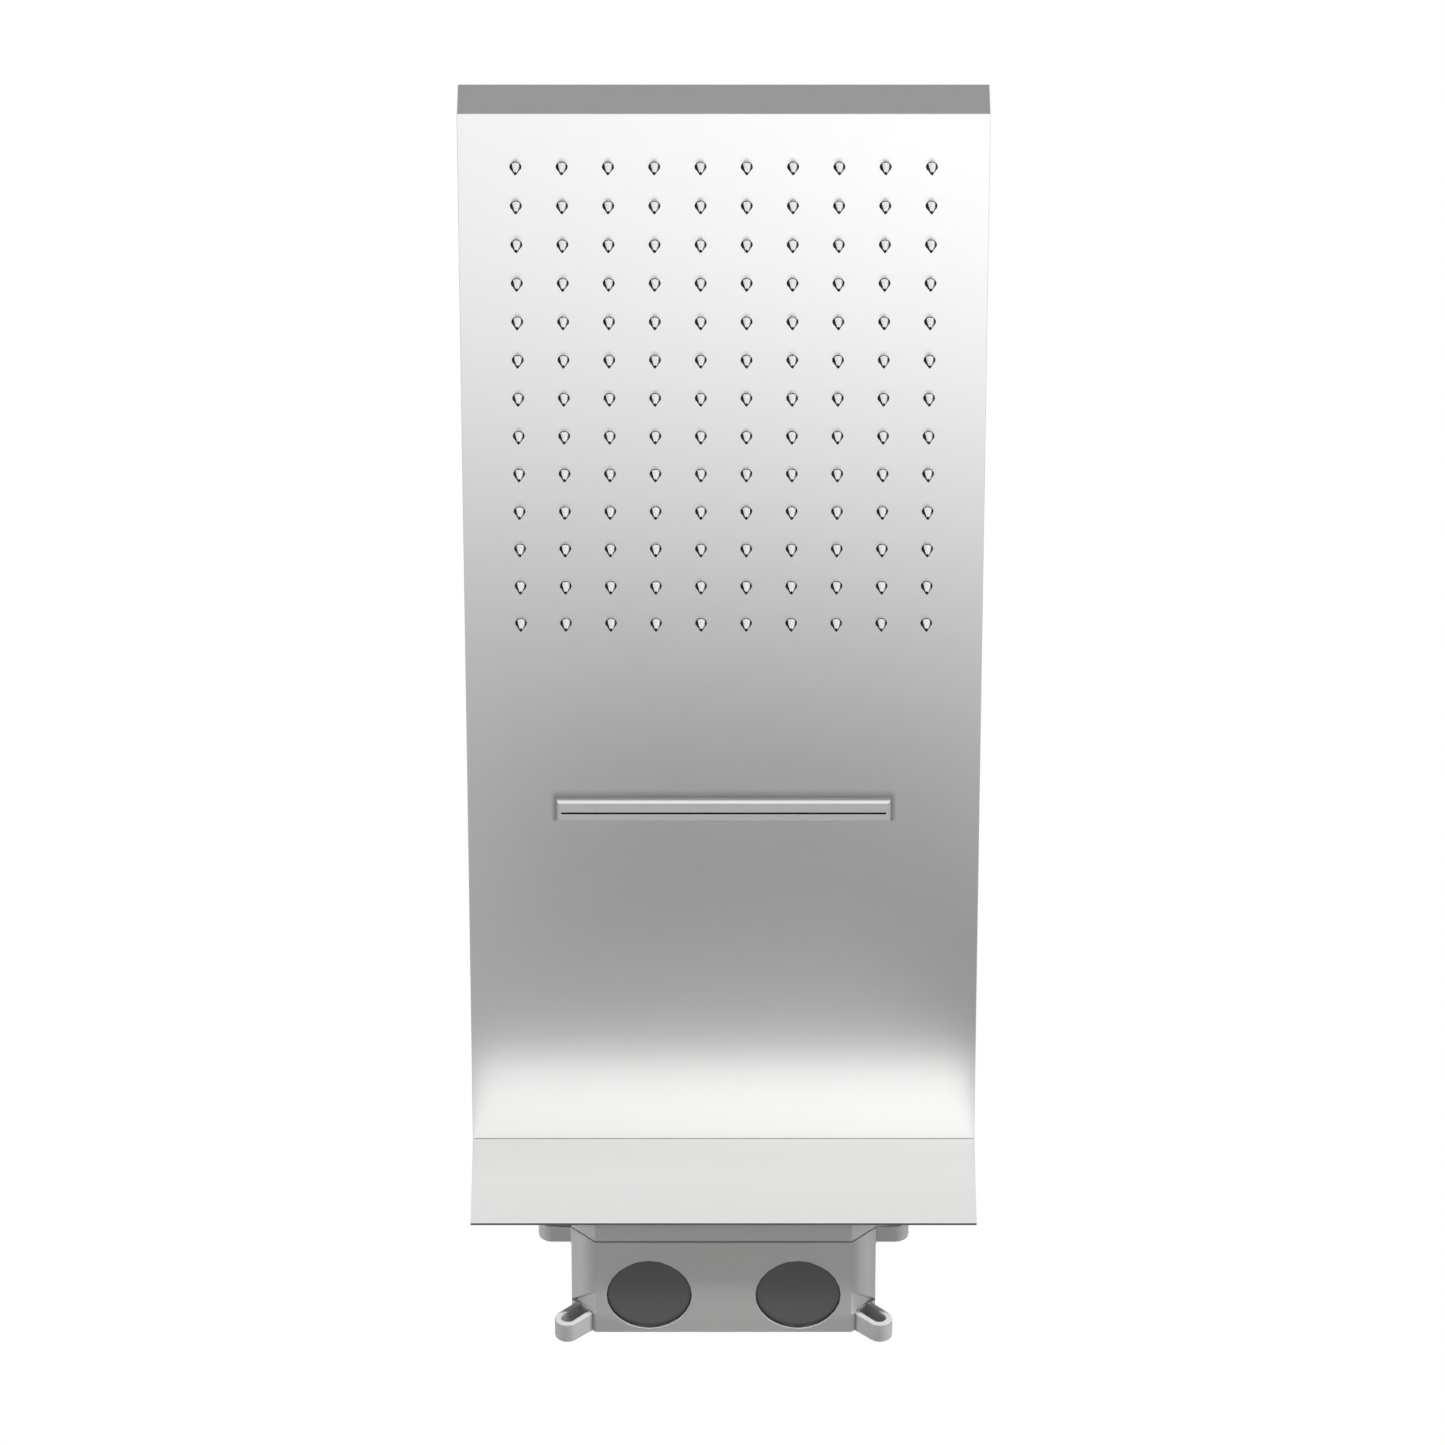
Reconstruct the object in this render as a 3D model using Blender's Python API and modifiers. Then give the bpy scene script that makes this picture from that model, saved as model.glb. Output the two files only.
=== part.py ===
"""A wall-mounted rain and cascade shower head with the concealed box that carries it.

The flat steel head reaches out from the wall along -Y, with a field of silicone nozzles and a
cascade outlet in its underside. A steel tongue on the box's bracket carries it, and two spigots
bring it water from check-valved elbows in the box. +Z is up, and the origin is the centre of the
box's rear face, which stands against the masonry. Lengths are in metres.
"""

import math

import bmesh
import bpy
from mathutils import Matrix, Vector

MM = 0.001

# Fits
SEAT_GAP = 0.3 * MM  # between pieces that rest on each other or slide in each other
OVERLAP = 0.5 * MM  # how far shapes that are joined reach into each other
THROUGH = 2.0 * MM  # how far a cutter runs past the wall that it cuts

# Shower head
HEAD_WIDTH = 230 * MM
HEAD_LENGTH = 555 * MM  # wall plate to front edge
HEAD_THICKNESS = 24 * MM
SHEET = 1.5 * MM
EDGE_BREAK = 0.2 * MM
COVER_LIP = 7 * MM

# Nozzle field
NOZZLE_COLUMNS = 10
NOZZLE_ROWS = 13
ROW_PITCH = 20 * MM
FIRST_ROW = 27 * MM  # front edge to the first row
SIDE_MARGIN = 25 * MM  # head's side to the outer columns
NOZZLE_SIDES = 8
NOZZLE_HOLE_RADIUS = 2.45 * MM
NOZZLE_BASE_RADIUS = 2.1 * MM
NOZZLE_TIP_RADIUS = 0.7 * MM
NOZZLE_DROP = 6 * MM  # tip below the underside
MAT_THICKNESS = 2 * MM
MAT_MARGIN = 10 * MM

# Cascade outlet
SPOUT_SIDE_MARGIN = 40 * MM  # head's side to the outlet's end
SPOUT_WIDTH = 11.2 * MM
SPOUT_DROP = 1.9 * MM
SPOUT_FROM_WALL = 186 * MM  # wall plate to the middle of the outlet
SPOUT_BEVEL = 1 * MM
SPOUT_SLOT_MARGIN = 2 * MM  # slot's end to the outlet's end
SPOUT_SLOT_WIDTH = 1 * MM
SPOUT_SLOT_SHIFT = 0.8 * MM  # slot behind the outlet's middle
SPOUT_NECK_MARGIN = 0.5 * MM
SPOUT_NECK_WIDTH = 6 * MM
SPOUT_NECK_RISE = 4 * MM  # neck above the head's floor

# Water chambers inside the head
CHAMBER_WALL = 2 * MM
CHAMBER_FLANGE = 9 * MM
RAIN_CHAMBER_HEIGHT = 15 * MM
CASCADE_CHAMBER_HEIGHT = 15 * MM
CASCADE_CHAMBER_MARGIN = 7.5 * MM  # neck's end to the chamber's end
CASCADE_CHAMBER_WIDTH = 28 * MM
STUD_RADIUS = 2 * MM
STUD_RISE = 7 * MM  # above the flange
NUT_ACROSS_CORNERS = 8 * MM
NUT_HEIGHT = 3.2 * MM

# Water ways
SUPPLY_SPACING = 68 * MM  # between the two supplies
PIPE_RADIUS = 5 * MM
PIPE_INSERTION = 8 * MM
PIPE_SIDE_MARGIN = 15 * MM  # head's side to the rain pipe, where it passes the cascade chamber
PIPE_INLET_MARGIN = 12 * MM  # rain chamber's side to its inlet
PIPE_LEVEL = 0.5 * MM
SPIGOT_RADIUS = 8 * MM
SPIGOT_BORE = 4 * MM
SPIGOT_TAIL_RADIUS = 7.5 * MM
SPIGOT_TAIL = 14 * MM
SPIGOT_FLANGE_RADIUS = 9.8 * MM
SPIGOT_FLANGE = 3 * MM
SPIGOT_REACH = 33 * MM  # behind the flange
O_RING_RADIUS = 7.5 * MM
O_RING_SECTION = 0.8 * MM
O_RING_GROOVE_RADIUS = 6.4 * MM
O_RING_GROOVE_WIDTH = 2.4 * MM
O_RING_PLACES = (20 * MM, 27 * MM)  # behind the flange

# Tongue that carries the head
TONGUE_WIDTH = 30 * MM
TONGUE_THICKNESS = 10 * MM
TONGUE_REACH = 118 * MM  # into the head
SOCKET_WALL = 4 * MM
SOCKET_SPARE = 2 * MM  # socket past the tongue's tip
GRUB_RADIUS = 3 * MM
GRUB_KEY_RADIUS = 1.7 * MM
GRUB_KEY_DEPTH = 3 * MM
GRUB_REAR_MARGIN = 30 * MM  # wall plate to the rear grub screw
GRUB_TIP_MARGIN = 23 * MM  # tongue's tip to the front grub screw
GRUB_ACCESS_RADIUS = 3.6 * MM

# Wall plate
PLATE_HEIGHT = 150 * MM
PLATE_SPIGOT_HOLE = 9 * MM
PLATE_TONGUE_MARGIN = 1 * MM
SEAL_THICKNESS = 1.4 * MM
SEAL_WIDTH = 5 * MM

# Concealed box
BOX_SIDE = 139 * MM
BOX_CHAMFER = 11 * MM
BOX_WALL = 3 * MM
BOX_CORNER = 1 * MM  # extra wall behind each chamfer
BODY_DEPTH = 51.5 * MM
SEAM = 0.8 * MM  # shadow line between the box and its front frame
FRAME_DEPTH = 11.7 * MM
FRAME_LIP = 4 * MM  # frame's tongue inside the box
FRAME_LIP_WALL = 2 * MM
FLANGE_WIDTH = 169 * MM
FLANGE_HEIGHT = 115 * MM
FLANGE_DEPTH = 8.8 * MM
FLANGE_CORNER = 6 * MM
EAR_RADIUS = 5.7 * MM
EAR_REACH = 10.6 * MM  # chamfer to the centre of the ear's round end
EAR_DEPTH = 10 * MM
EAR_SLOT_WIDTH = 6.4 * MM
EAR_SLOT_BITE = 1 * MM  # slot into the box's chamfer
RELIEF_RISE = 13.5 * MM  # screwdriver relief in front of each ear
RELIEF_DEPTH = 2.4 * MM
ENTRY_RADIUS = 19.5 * MM
ENTRY_FROM_SEAM = 30.1 * MM
ENTRY_RECESS = 0.3 * MM
PIPE_SEAL_LIP_RADIUS = 22 * MM
PIPE_SEAL_LIP = 1.5 * MM
PILLAR_RADIUS = 6 * MM
PILLAR_SIDE_INSET = 13.5 * MM  # from the box's side
PILLAR_END_INSET = 21.5 * MM  # from the box's top and bottom
PILLAR_STOP = 1.5 * MM  # pillar tops behind the box's front

# Bracket and screws
BRACKET_MARGIN = 5 * MM  # plate outside the screws
BRACKET_THICKNESS = 4 * MM
SCREW_RADIUS = 2 * MM
SCREW_HEAD_RADIUS = 4 * MM
SCREW_HEAD = 2.4 * MM
SCREW_KEY_RADIUS = 1.6 * MM
SCREW_KEY_DEPTH = 1.4 * MM
BRACKET_SCREW_LENGTH = 16 * MM
FRAME_SCREW_LENGTH = 16 * MM
FRAME_SCREW_INSET = 8 * MM  # from the flange's outer edge
FRAME_SCREW_SPACING = 80 * MM

# Inlet elbows and check valves
ELBOW_RADIUS = 13.5 * MM
ELBOW_BORE = 9.3 * MM
ELBOW_TOP = 13.5 * MM
ELBOW_ROOF = 5 * MM
ELBOW_SOCKET_RADIUS = 12 * MM
ELBOW_SOCKET_BORE = 8.6 * MM
ELBOW_COLLAR_RADIUS = 15 * MM
ELBOW_COLLAR = 3 * MM
ELBOW_PROUD = 3 * MM  # socket in front of the bracket
ELBOW_FOOT_RADIUS = 9 * MM
ELBOW_CLEARANCE = 2 * MM  # inlet end above the pipe seal
CARTRIDGE_RADIUS = 9 * MM
CARTRIDGE_BORE = 7.2 * MM
CARTRIDGE_SEAT = 4.5 * MM
CARTRIDGE_GUIDE = 2.8 * MM
CARTRIDGE_END = 3 * MM
CARTRIDGE_LENGTH = 30 * MM
CARTRIDGE_INSET = 14 * MM  # above the elbow's inlet end
POPPET_RADIUS = 6.4 * MM
POPPET_DISC = 3 * MM
POPPET_STEM = 2.5 * MM
POPPET_TRAVEL = 4 * MM
SPRING_RADIUS = 4.6 * MM
SPRING_WIRE = 0.5 * MM
SPRING_TURNS = 5
SPRING_POINTS = 8  # in a turn

# Facets of round pieces
ROUND_LARGE = 24
ROUND_SMALL = 12
ROUND_TINY = 8

# Levels and stations that follow from the sizes
UNDERSIDE = -HEAD_THICKNESS / 2
FLOOR = UNDERSIDE + SHEET
CEILING = HEAD_THICKNESS / 2 - SHEET
BODY_FRONT = -BODY_DEPTH
FRAME_BACK = BODY_FRONT - SEAM
FRAME_FRONT = FRAME_BACK - FRAME_DEPTH
PLATE_BACK = FRAME_FRONT - SEAL_THICKNESS - 2 * SEAT_GAP
PLATE_FRONT = PLATE_BACK - SHEET
HEAD_BACK = PLATE_FRONT - SEAT_GAP
HEAD_FRONT = PLATE_FRONT - HEAD_LENGTH
HEAD_INNER_BACK = HEAD_BACK - SHEET
MAT_BOTTOM = FLOOR + SEAT_GAP
MAT_TOP = MAT_BOTTOM + MAT_THICKNESS
FIELD_WIDTH = HEAD_WIDTH - 2 * SIDE_MARGIN
COLUMN_PITCH = FIELD_WIDTH / (NOZZLE_COLUMNS - 1)
FIELD_LENGTH = (NOZZLE_ROWS - 1) * ROW_PITCH
FIELD_FRONT = HEAD_FRONT + FIRST_ROW
FIELD_MIDDLE = FIELD_FRONT + FIELD_LENGTH / 2
MAT_SIZE = (FIELD_WIDTH + 2 * MAT_MARGIN, FIELD_LENGTH + 2 * MAT_MARGIN)
SPOUT_STATION = PLATE_FRONT - SPOUT_FROM_WALL
SPOUT_LENGTH = HEAD_WIDTH - 2 * SPOUT_SIDE_MARGIN
SPOUT_SLOT_LENGTH = SPOUT_LENGTH - 2 * SPOUT_SLOT_MARGIN
SPOUT_NECK_LENGTH = SPOUT_LENGTH - 2 * SPOUT_NECK_MARGIN
CASCADE_CHAMBER_LENGTH = SPOUT_NECK_LENGTH + 2 * CASCADE_CHAMBER_MARGIN
RAIN_PIPE_SIDE = HEAD_WIDTH / 2 - PIPE_SIDE_MARGIN
RAIN_PIPE_INLET = MAT_SIZE[0] / 2 - PIPE_INLET_MARGIN
RAIN_X = -SUPPLY_SPACING / 2
CASCADE_X = SUPPLY_SPACING / 2
ENTRY_STATION = BODY_FRONT + ENTRY_FROM_SEAM
BOX_FLOOR = -BOX_SIDE / 2 + BOX_WALL
PILLAR_FRONT = BODY_FRONT + PILLAR_STOP
PILLAR_SPACING = BOX_SIDE - 2 * PILLAR_SIDE_INSET
PILLAR_RISE = BOX_SIDE - 2 * PILLAR_END_INSET
BRACKET_BACK = PILLAR_FRONT - SEAT_GAP
BRACKET_FRONT = BRACKET_BACK - BRACKET_THICKNESS
ELBOW_BOTTOM = BOX_FLOOR + SEAT_GAP + PIPE_SEAL_LIP + ELBOW_CLEARANCE
ELBOW_FRONT = BRACKET_FRONT - ELBOW_PROUD
CARTRIDGE_BOTTOM = ELBOW_BOTTOM + CARTRIDGE_INSET
CARTRIDGE_TOP = CARTRIDGE_BOTTOM + CARTRIDGE_LENGTH
POPPET_BOTTOM = CARTRIDGE_BOTTOM + CARTRIDGE_END + SEAT_GAP
POPPET_TOP = CARTRIDGE_TOP + SEAT_GAP
SPRING_BOTTOM = POPPET_BOTTOM + POPPET_DISC + SEAT_GAP
SPRING_TOP = CARTRIDGE_TOP - CARTRIDGE_END - SEAT_GAP

ALONG_Y = Matrix.Rotation(math.radians(-90), 4, "X")  # a local +Z axis turned to +Y
FACING_WALL = Matrix.Rotation(math.radians(90), 4, "X")  # a flat outline in XY turned into XZ


def clear_scene():
    for obj in list(bpy.data.objects):
        bpy.data.objects.remove(obj)


def new_collection(name):
    collection = bpy.data.collections.new(name)
    bpy.context.scene.collection.children.link(collection)
    return collection


clear_scene()
PARTS = new_collection("shower_head")
CUTTERS = new_collection("cutters")
CUTTERS.hide_render = True


def finish(name, color, roughness, metallic):
    material = bpy.data.materials.new(name)
    material.use_nodes = True
    shader = material.node_tree.nodes["Principled BSDF"]
    shader.inputs["Base Color"].default_value = (*color, 1)
    shader.inputs["Roughness"].default_value = roughness
    shader.inputs["Metallic"].default_value = metallic
    return material


STEEL = finish("satin_steel", (0.80, 0.80, 0.79), 0.3, 1)
RAW_STEEL = finish("zinc_plated_steel", (0.50, 0.50, 0.50), 0.45, 1)
SILICONE = finish("grey_silicone", (0.72, 0.72, 0.70), 0.5, 0)
BOX_PLASTIC = finish("grey_box_plastic", (0.36, 0.36, 0.35), 0.55, 0)
CHAMBER_PLASTIC = finish("white_chamber_plastic", (0.78, 0.78, 0.76), 0.5, 0)
DARK_RUBBER = finish("dark_rubber", (0.07, 0.07, 0.07), 0.75, 0)
BRASS = finish("brass", (0.70, 0.52, 0.26), 0.35, 1)
VALVE_PLASTIC = finish("valve_plastic", (0.30, 0.42, 0.55), 0.4, 0)


def part(obj, material):
    """Puts a finished piece with the parts, in its material, shaded smooth between sharp edges."""
    for collection in list(obj.users_collection):
        collection.objects.unlink(obj)
    PARTS.objects.link(obj)
    obj.data.materials.clear()
    obj.data.materials.append(material)
    if obj.type == "MESH":
        obj.data.shade_smooth()
        obj.data.set_sharp_from_angle(angle=math.radians(35))
    return obj


def helper(obj):
    obj.hide_render = True
    obj.display_type = "WIRE"
    return obj


def mesh_object(name, bm):
    mesh = bpy.data.meshes.new(name)
    bm.to_mesh(mesh)
    bm.free()
    obj = bpy.data.objects.new(name, mesh)
    CUTTERS.objects.link(obj)
    return obj


def block(name, low, high):
    """A box between two corners."""
    low, high = Vector(low), Vector(high)
    bm = bmesh.new()
    bmesh.ops.create_cube(bm, size=1)
    bmesh.ops.scale(bm, vec=high - low, verts=bm.verts)
    bmesh.ops.translate(bm, vec=(low + high) / 2, verts=bm.verts)
    return mesh_object(name, bm)


def rods(name, places, radius, start, end, turned=None, segments=ROUND_SMALL, tip=None):
    """Round rods from start to end along Z, or along turned's axis, one at each place."""
    bm = bmesh.new()
    for place in places:
        rod = bmesh.ops.create_cone(
            bm,
            cap_ends=True,
            segments=segments,
            radius1=radius if tip is None else tip,
            radius2=radius,
            depth=end - start,
        )
        along = Matrix.Translation((0, 0, (start + end) / 2))
        turn = turned or Matrix.Identity(4)
        bmesh.ops.transform(bm, matrix=Matrix.Translation(place) @ turn @ along, verts=rod["verts"])
    return mesh_object(name, bm)


def to_mesh(obj):
    """A curve's evaluated shape as a mesh object with welded caps, in the curve's place."""
    bpy.context.view_layer.update()
    graph = bpy.context.evaluated_depsgraph_get()
    mesh = bpy.data.meshes.new_from_object(obj.evaluated_get(graph))
    name, world = obj.name, obj.matrix_world.copy()
    bpy.data.objects.remove(obj)
    bm = bmesh.new()
    bm.from_mesh(mesh)
    bmesh.ops.remove_doubles(bm, verts=bm.verts, dist=0.01 * MM)
    bm.to_mesh(mesh)
    bm.free()
    made = bpy.data.objects.new(name, mesh)
    made.matrix_world = world
    CUTTERS.objects.link(made)
    return made


def slab(name, outline, front, back):
    """A flat outline in XZ, given as (x, z) points, from the front station to the back one."""
    curve = bpy.data.curves.new(name, "CURVE")
    curve.dimensions = "2D"
    curve.fill_mode = "BOTH"
    curve.extrude = (back - front) / 2
    spline = curve.splines.new("POLY")
    spline.points.add(len(outline) - 1)
    for point, (x, z) in zip(spline.points, outline):
        point.co = (x, z, 0, 1)
    spline.use_cyclic_u = True
    obj = bpy.data.objects.new(name, curve)
    obj.matrix_world = Matrix.Translation((0, (front + back) / 2, 0)) @ FACING_WALL
    CUTTERS.objects.link(obj)
    return to_mesh(obj)


def turned(name, profile, place, turn=None, steps=ROUND_LARGE):
    """A turned piece from a (radius, height) profile, listed down its outer side first.

    A profile that starts on the axis ends on it, and any other one closes on itself.
    """
    bm = bmesh.new()
    ring = [bm.verts.new((radius, 0, height)) for radius, height in profile]
    for first, second in zip(ring, ring[1:]):
        bm.edges.new((first, second))
    if profile[0][0] > 0:
        bm.edges.new((ring[-1], ring[0]))
    obj = mesh_object(name, bm)
    screw = obj.modifiers.new("turn", "SCREW")
    screw.axis = "Z"
    screw.steps = screw.render_steps = steps
    screw.use_merge_vertices = True
    screw.merge_threshold = 0.01 * MM
    obj.matrix_world = Matrix.Translation(place) @ (turn or Matrix.Identity(4))
    return obj


def boolean(obj, other, operation):
    modifier = obj.modifiers.new(f"{operation.lower()}_{other.name}", "BOOLEAN")
    modifier.operation = operation
    modifier.object = helper(other)


def cut(obj, *cutters):
    for cutter in cutters:
        boolean(obj, cutter, "DIFFERENCE")
    return obj


def join(obj, *others):
    for other in others:
        boolean(obj, other, "UNION")
    return obj


def tray(name, low, high, wall, open_side, flange=0):
    """A folded or moulded tray between two corners, open at its top (+1) or underneath (-1).

    The wall grows inwards from the corners, and a flange may turn outwards at the open rim.
    """
    low, high = Vector(low), Vector(high)
    middle, size = (low + high) / 2, high - low
    bm = bmesh.new()
    bmesh.ops.create_cube(bm, size=1)
    lid = [face for face in bm.faces if face.normal.z * open_side > 0.5]
    bmesh.ops.delete(bm, geom=lid, context="FACES_ONLY")
    bmesh.ops.scale(bm, vec=size, verts=bm.verts)
    if flange:
        rim = [edge for edge in bm.edges if edge.is_boundary]
        grown = bmesh.ops.extrude_edge_only(bm, edges=rim)["geom"]
        corners = [item for item in grown if isinstance(item, bmesh.types.BMVert)]
        spread = ((size.x + 2 * flange) / size.x, (size.y + 2 * flange) / size.y, 1)
        bmesh.ops.scale(bm, vec=spread, verts=corners)
    bmesh.ops.translate(bm, vec=middle, verts=bm.verts)
    obj = mesh_object(name, bm)
    solidify = obj.modifiers.new("wall", "SOLIDIFY")
    solidify.thickness = wall
    solidify.offset = -1
    solidify.solidify_mode = "NON_MANIFOLD"
    solidify.nonmanifold_thickness_mode = "CONSTRAINTS"
    return obj


def break_edges(obj, width, segments=1):
    bevel = obj.modifiers.new("edge_break", "BEVEL")
    bevel.width = width
    bevel.segments = segments
    bevel.limit_method = "ANGLE"
    bevel.angle_limit = math.radians(40)
    return obj


def chamfered_square(side, chamfer):
    half, short = side / 2, side / 2 - chamfer
    corner = [(short, half), (half, short)]
    points = []
    for turn in range(4):
        angle = -math.radians(90) * turn
        cosine, sine = math.cos(angle), math.sin(angle)
        points += [(x * cosine - z * sine, x * sine + z * cosine) for x, z in corner]
    return points


def rounded_rectangle(width, height, radius, segments=4):
    points = []
    for turn, (sx, sz) in enumerate(((1, 1), (-1, 1), (-1, -1), (1, -1))):
        for step in range(segments + 1):
            angle = math.radians(90) * (turn + step / segments)
            x = sx * (width / 2 - radius) + radius * math.cos(angle)
            z = sz * (height / 2 - radius) + radius * math.sin(angle)
            points.append((x, z))
    return points


def corners(width, height):
    """The (x, z) corners of a rectangle, round from the upper right."""
    return [(sx * width / 2, sz * height / 2) for sx, sz in ((1, 1), (-1, 1), (-1, -1), (1, -1))]


def nozzle_places(height):
    for row in range(NOZZLE_ROWS):
        for column in range(NOZZLE_COLUMNS):
            x = column * COLUMN_PITCH - FIELD_WIDTH / 2
            yield (x, FIELD_FRONT + row * ROW_PITCH, height)


def rain_chamber_corners():
    half_x, half_y = MAT_SIZE[0] / 2, MAT_SIZE[1] / 2
    return (-half_x, FIELD_MIDDLE - half_y), (half_x, FIELD_MIDDLE + half_y)


def cascade_chamber_corners():
    half_x, half_y = CASCADE_CHAMBER_LENGTH / 2, CASCADE_CHAMBER_WIDTH / 2
    return (-half_x, SPOUT_STATION - half_y), (half_x, SPOUT_STATION + half_y)


def rain_stud_places():
    out = MAT_SIZE[0] / 2 + CHAMBER_FLANGE / 2
    along = MAT_SIZE[1] / 3
    return [(sx * out, FIELD_MIDDLE + sy * along) for sy in (-1, 1) for sx in (-1, 1)]


def cascade_stud_places():
    out = CASCADE_CHAMBER_LENGTH / 2 + CHAMBER_FLANGE / 2
    return [(sx * out, SPOUT_STATION) for sx in (-1, 1)]


RAIN_FLANGE = MAT_TOP + SEAT_GAP
CASCADE_FLANGE = FLOOR + SEAT_GAP
SPIGOT_HOLE = SPIGOT_RADIUS + SEAT_GAP
SOCKET_HALF = TONGUE_WIDTH / 2 + SEAT_GAP + SOCKET_WALL
TONGUE_TIP = HEAD_BACK - TONGUE_REACH
SOCKET_LENGTH = TONGUE_REACH + SOCKET_SPARE
GRUB_STATIONS = (PLATE_FRONT - GRUB_REAR_MARGIN, TONGUE_TIP + GRUB_TIP_MARGIN)


def supply_rods(name, radius, start, end):
    """Rods along Y on both supplies' lines."""
    places = [(RAIN_X, 0, 0), (CASCADE_X, 0, 0)]
    return rods(name, places, radius, start, end, ALONG_Y, ROUND_LARGE)


def head_shell():
    """The folded pan: floor with the nozzle holes and the outlet's opening, walls and weld studs."""
    shell = tray(
        "head_shell",
        (-HEAD_WIDTH / 2, HEAD_FRONT, UNDERSIDE),
        (HEAD_WIDTH / 2, HEAD_BACK, -UNDERSIDE),
        SHEET,
        open_side=1,
    )
    break_edges(shell, EDGE_BREAK)
    neck = (SPOUT_NECK_LENGTH / 2 + SEAT_GAP, SPOUT_NECK_WIDTH / 2 + SEAT_GAP)
    tongue = (TONGUE_WIDTH / 2 + SEAT_GAP, TONGUE_THICKNESS / 2 + SEAT_GAP)
    cut(
        shell,
        rods(
            "nozzle_holes",
            nozzle_places(0),
            NOZZLE_HOLE_RADIUS,
            UNDERSIDE - THROUGH,
            FLOOR + THROUGH,
            segments=NOZZLE_SIDES,
        ),
        block(
            "outlet_opening",
            (-neck[0], SPOUT_STATION - neck[1], UNDERSIDE - THROUGH),
            (neck[0], SPOUT_STATION + neck[1], FLOOR + THROUGH),
        ),
        block(
            "tongue_opening",
            (-tongue[0], HEAD_INNER_BACK - THROUGH, -tongue[1]),
            (tongue[0], HEAD_BACK + THROUGH, tongue[1]),
        ),
        supply_rods("spigot_openings", SPIGOT_HOLE, HEAD_INNER_BACK - THROUGH, HEAD_BACK + THROUGH),
    )
    foot = FLOOR - OVERLAP
    rain_top = RAIN_FLANGE + CHAMBER_WALL + STUD_RISE
    cascade_top = CASCADE_FLANGE + CHAMBER_WALL + STUD_RISE
    rain = [(x, y, 0) for x, y in rain_stud_places()]
    cascade = [(x, y, 0) for x, y in cascade_stud_places()]
    join(
        shell,
        rods("rain_studs", rain, STUD_RADIUS, foot, rain_top, segments=ROUND_TINY),
        rods("cascade_studs", cascade, STUD_RADIUS, foot, cascade_top, segments=ROUND_TINY),
    )
    return part(shell, STEEL)


def head_cover():
    """The top sheet: a lip folded inside the pan's walls, and two holes to reach the grub screws."""
    inset = SHEET + SEAT_GAP
    cover = tray(
        "head_cover",
        (-HEAD_WIDTH / 2 + inset, HEAD_FRONT + inset, -UNDERSIDE - COVER_LIP),
        (HEAD_WIDTH / 2 - inset, HEAD_BACK - inset, -UNDERSIDE),
        SHEET,
        open_side=-1,
    )
    places = [(0, station, 0) for station in GRUB_STATIONS]
    access = rods("grub_access", places, GRUB_ACCESS_RADIUS, CEILING - THROUGH, -UNDERSIDE + THROUGH)
    notch = CASCADE_X + SPIGOT_FLANGE_RADIUS + THROUGH
    lip_notch = block(
        "lip_notch",
        (-notch, HEAD_INNER_BACK - 2 * SHEET - THROUGH, UNDERSIDE),
        (notch, HEAD_BACK, CEILING - SEAT_GAP / 2),
    )
    return part(cut(cover, access, lip_notch), STEEL)


def nozzle_mat():
    """One silicone moulding: a sheet on the pan's floor with a nozzle through each hole."""
    half_x, half_y = MAT_SIZE[0] / 2, MAT_SIZE[1] / 2
    mat = block(
        "nozzle_mat",
        (-half_x, FIELD_MIDDLE - half_y, MAT_BOTTOM),
        (half_x, FIELD_MIDDLE + half_y, MAT_TOP),
    )
    nozzles = rods(
        "nozzles",
        nozzle_places(0),
        NOZZLE_BASE_RADIUS,
        UNDERSIDE - NOZZLE_DROP,
        MAT_BOTTOM + OVERLAP,
        segments=NOZZLE_SIDES,
        tip=NOZZLE_TIP_RADIUS,
    )
    return part(join(mat, nozzles), SILICONE)


def chamber(name, plan, flange_level, height, studs, inlet_x):
    """An inverted tub that feeds one outlet, with stud holes in its flange and a rear pipe inlet."""
    (low_x, low_y), (high_x, high_y) = plan
    tub = tray(
        name,
        (low_x, low_y, flange_level + CHAMBER_WALL),
        (high_x, high_y, flange_level + height),
        CHAMBER_WALL,
        open_side=-1,
        flange=CHAMBER_FLANGE,
    )
    cut(
        tub,
        rods(
            f"{name}_stud_holes",
            [(x, y, 0) for x, y in studs],
            STUD_RADIUS + SEAT_GAP,
            flange_level - THROUGH,
            flange_level + CHAMBER_WALL + THROUGH,
            segments=ROUND_TINY,
        ),
        rods(
            f"{name}_inlet",
            [(inlet_x, 0, PIPE_LEVEL)],
            PIPE_RADIUS + SEAT_GAP,
            high_y - CHAMBER_WALL - THROUGH,
            high_y + THROUGH,
            ALONG_Y,
        ),
    )
    return part(tub, CHAMBER_PLASTIC)


def chamber_nuts(name, places, level):
    for number, (x, y) in enumerate(places, 1):
        top = level + NUT_HEIGHT
        nut = rods(f"{name}_{number}", [(x, y, 0)], NUT_ACROSS_CORNERS / 2, level, top, segments=6)
        bore = rods(
            f"{name}_{number}_bore",
            [(x, y, 0)],
            STUD_RADIUS + SEAT_GAP,
            level - THROUGH,
            top + THROUGH,
            segments=ROUND_TINY,
        )
        part(cut(nut, bore), RAW_STEEL)


def bevel_underside(obj, width):
    """Bevels the edges round an object's lowest face."""
    bm = bmesh.new()
    bm.from_mesh(obj.data)
    lowest = min(bm.faces, key=lambda face: face.calc_center_median().z)
    bmesh.ops.bevel(
        bm,
        geom=lowest.edges[:],
        offset=width,
        affect="EDGES",
        segments=1,
        profile=0.5,
        material=-1,
    )
    bm.to_mesh(obj.data)
    bm.free()


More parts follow.
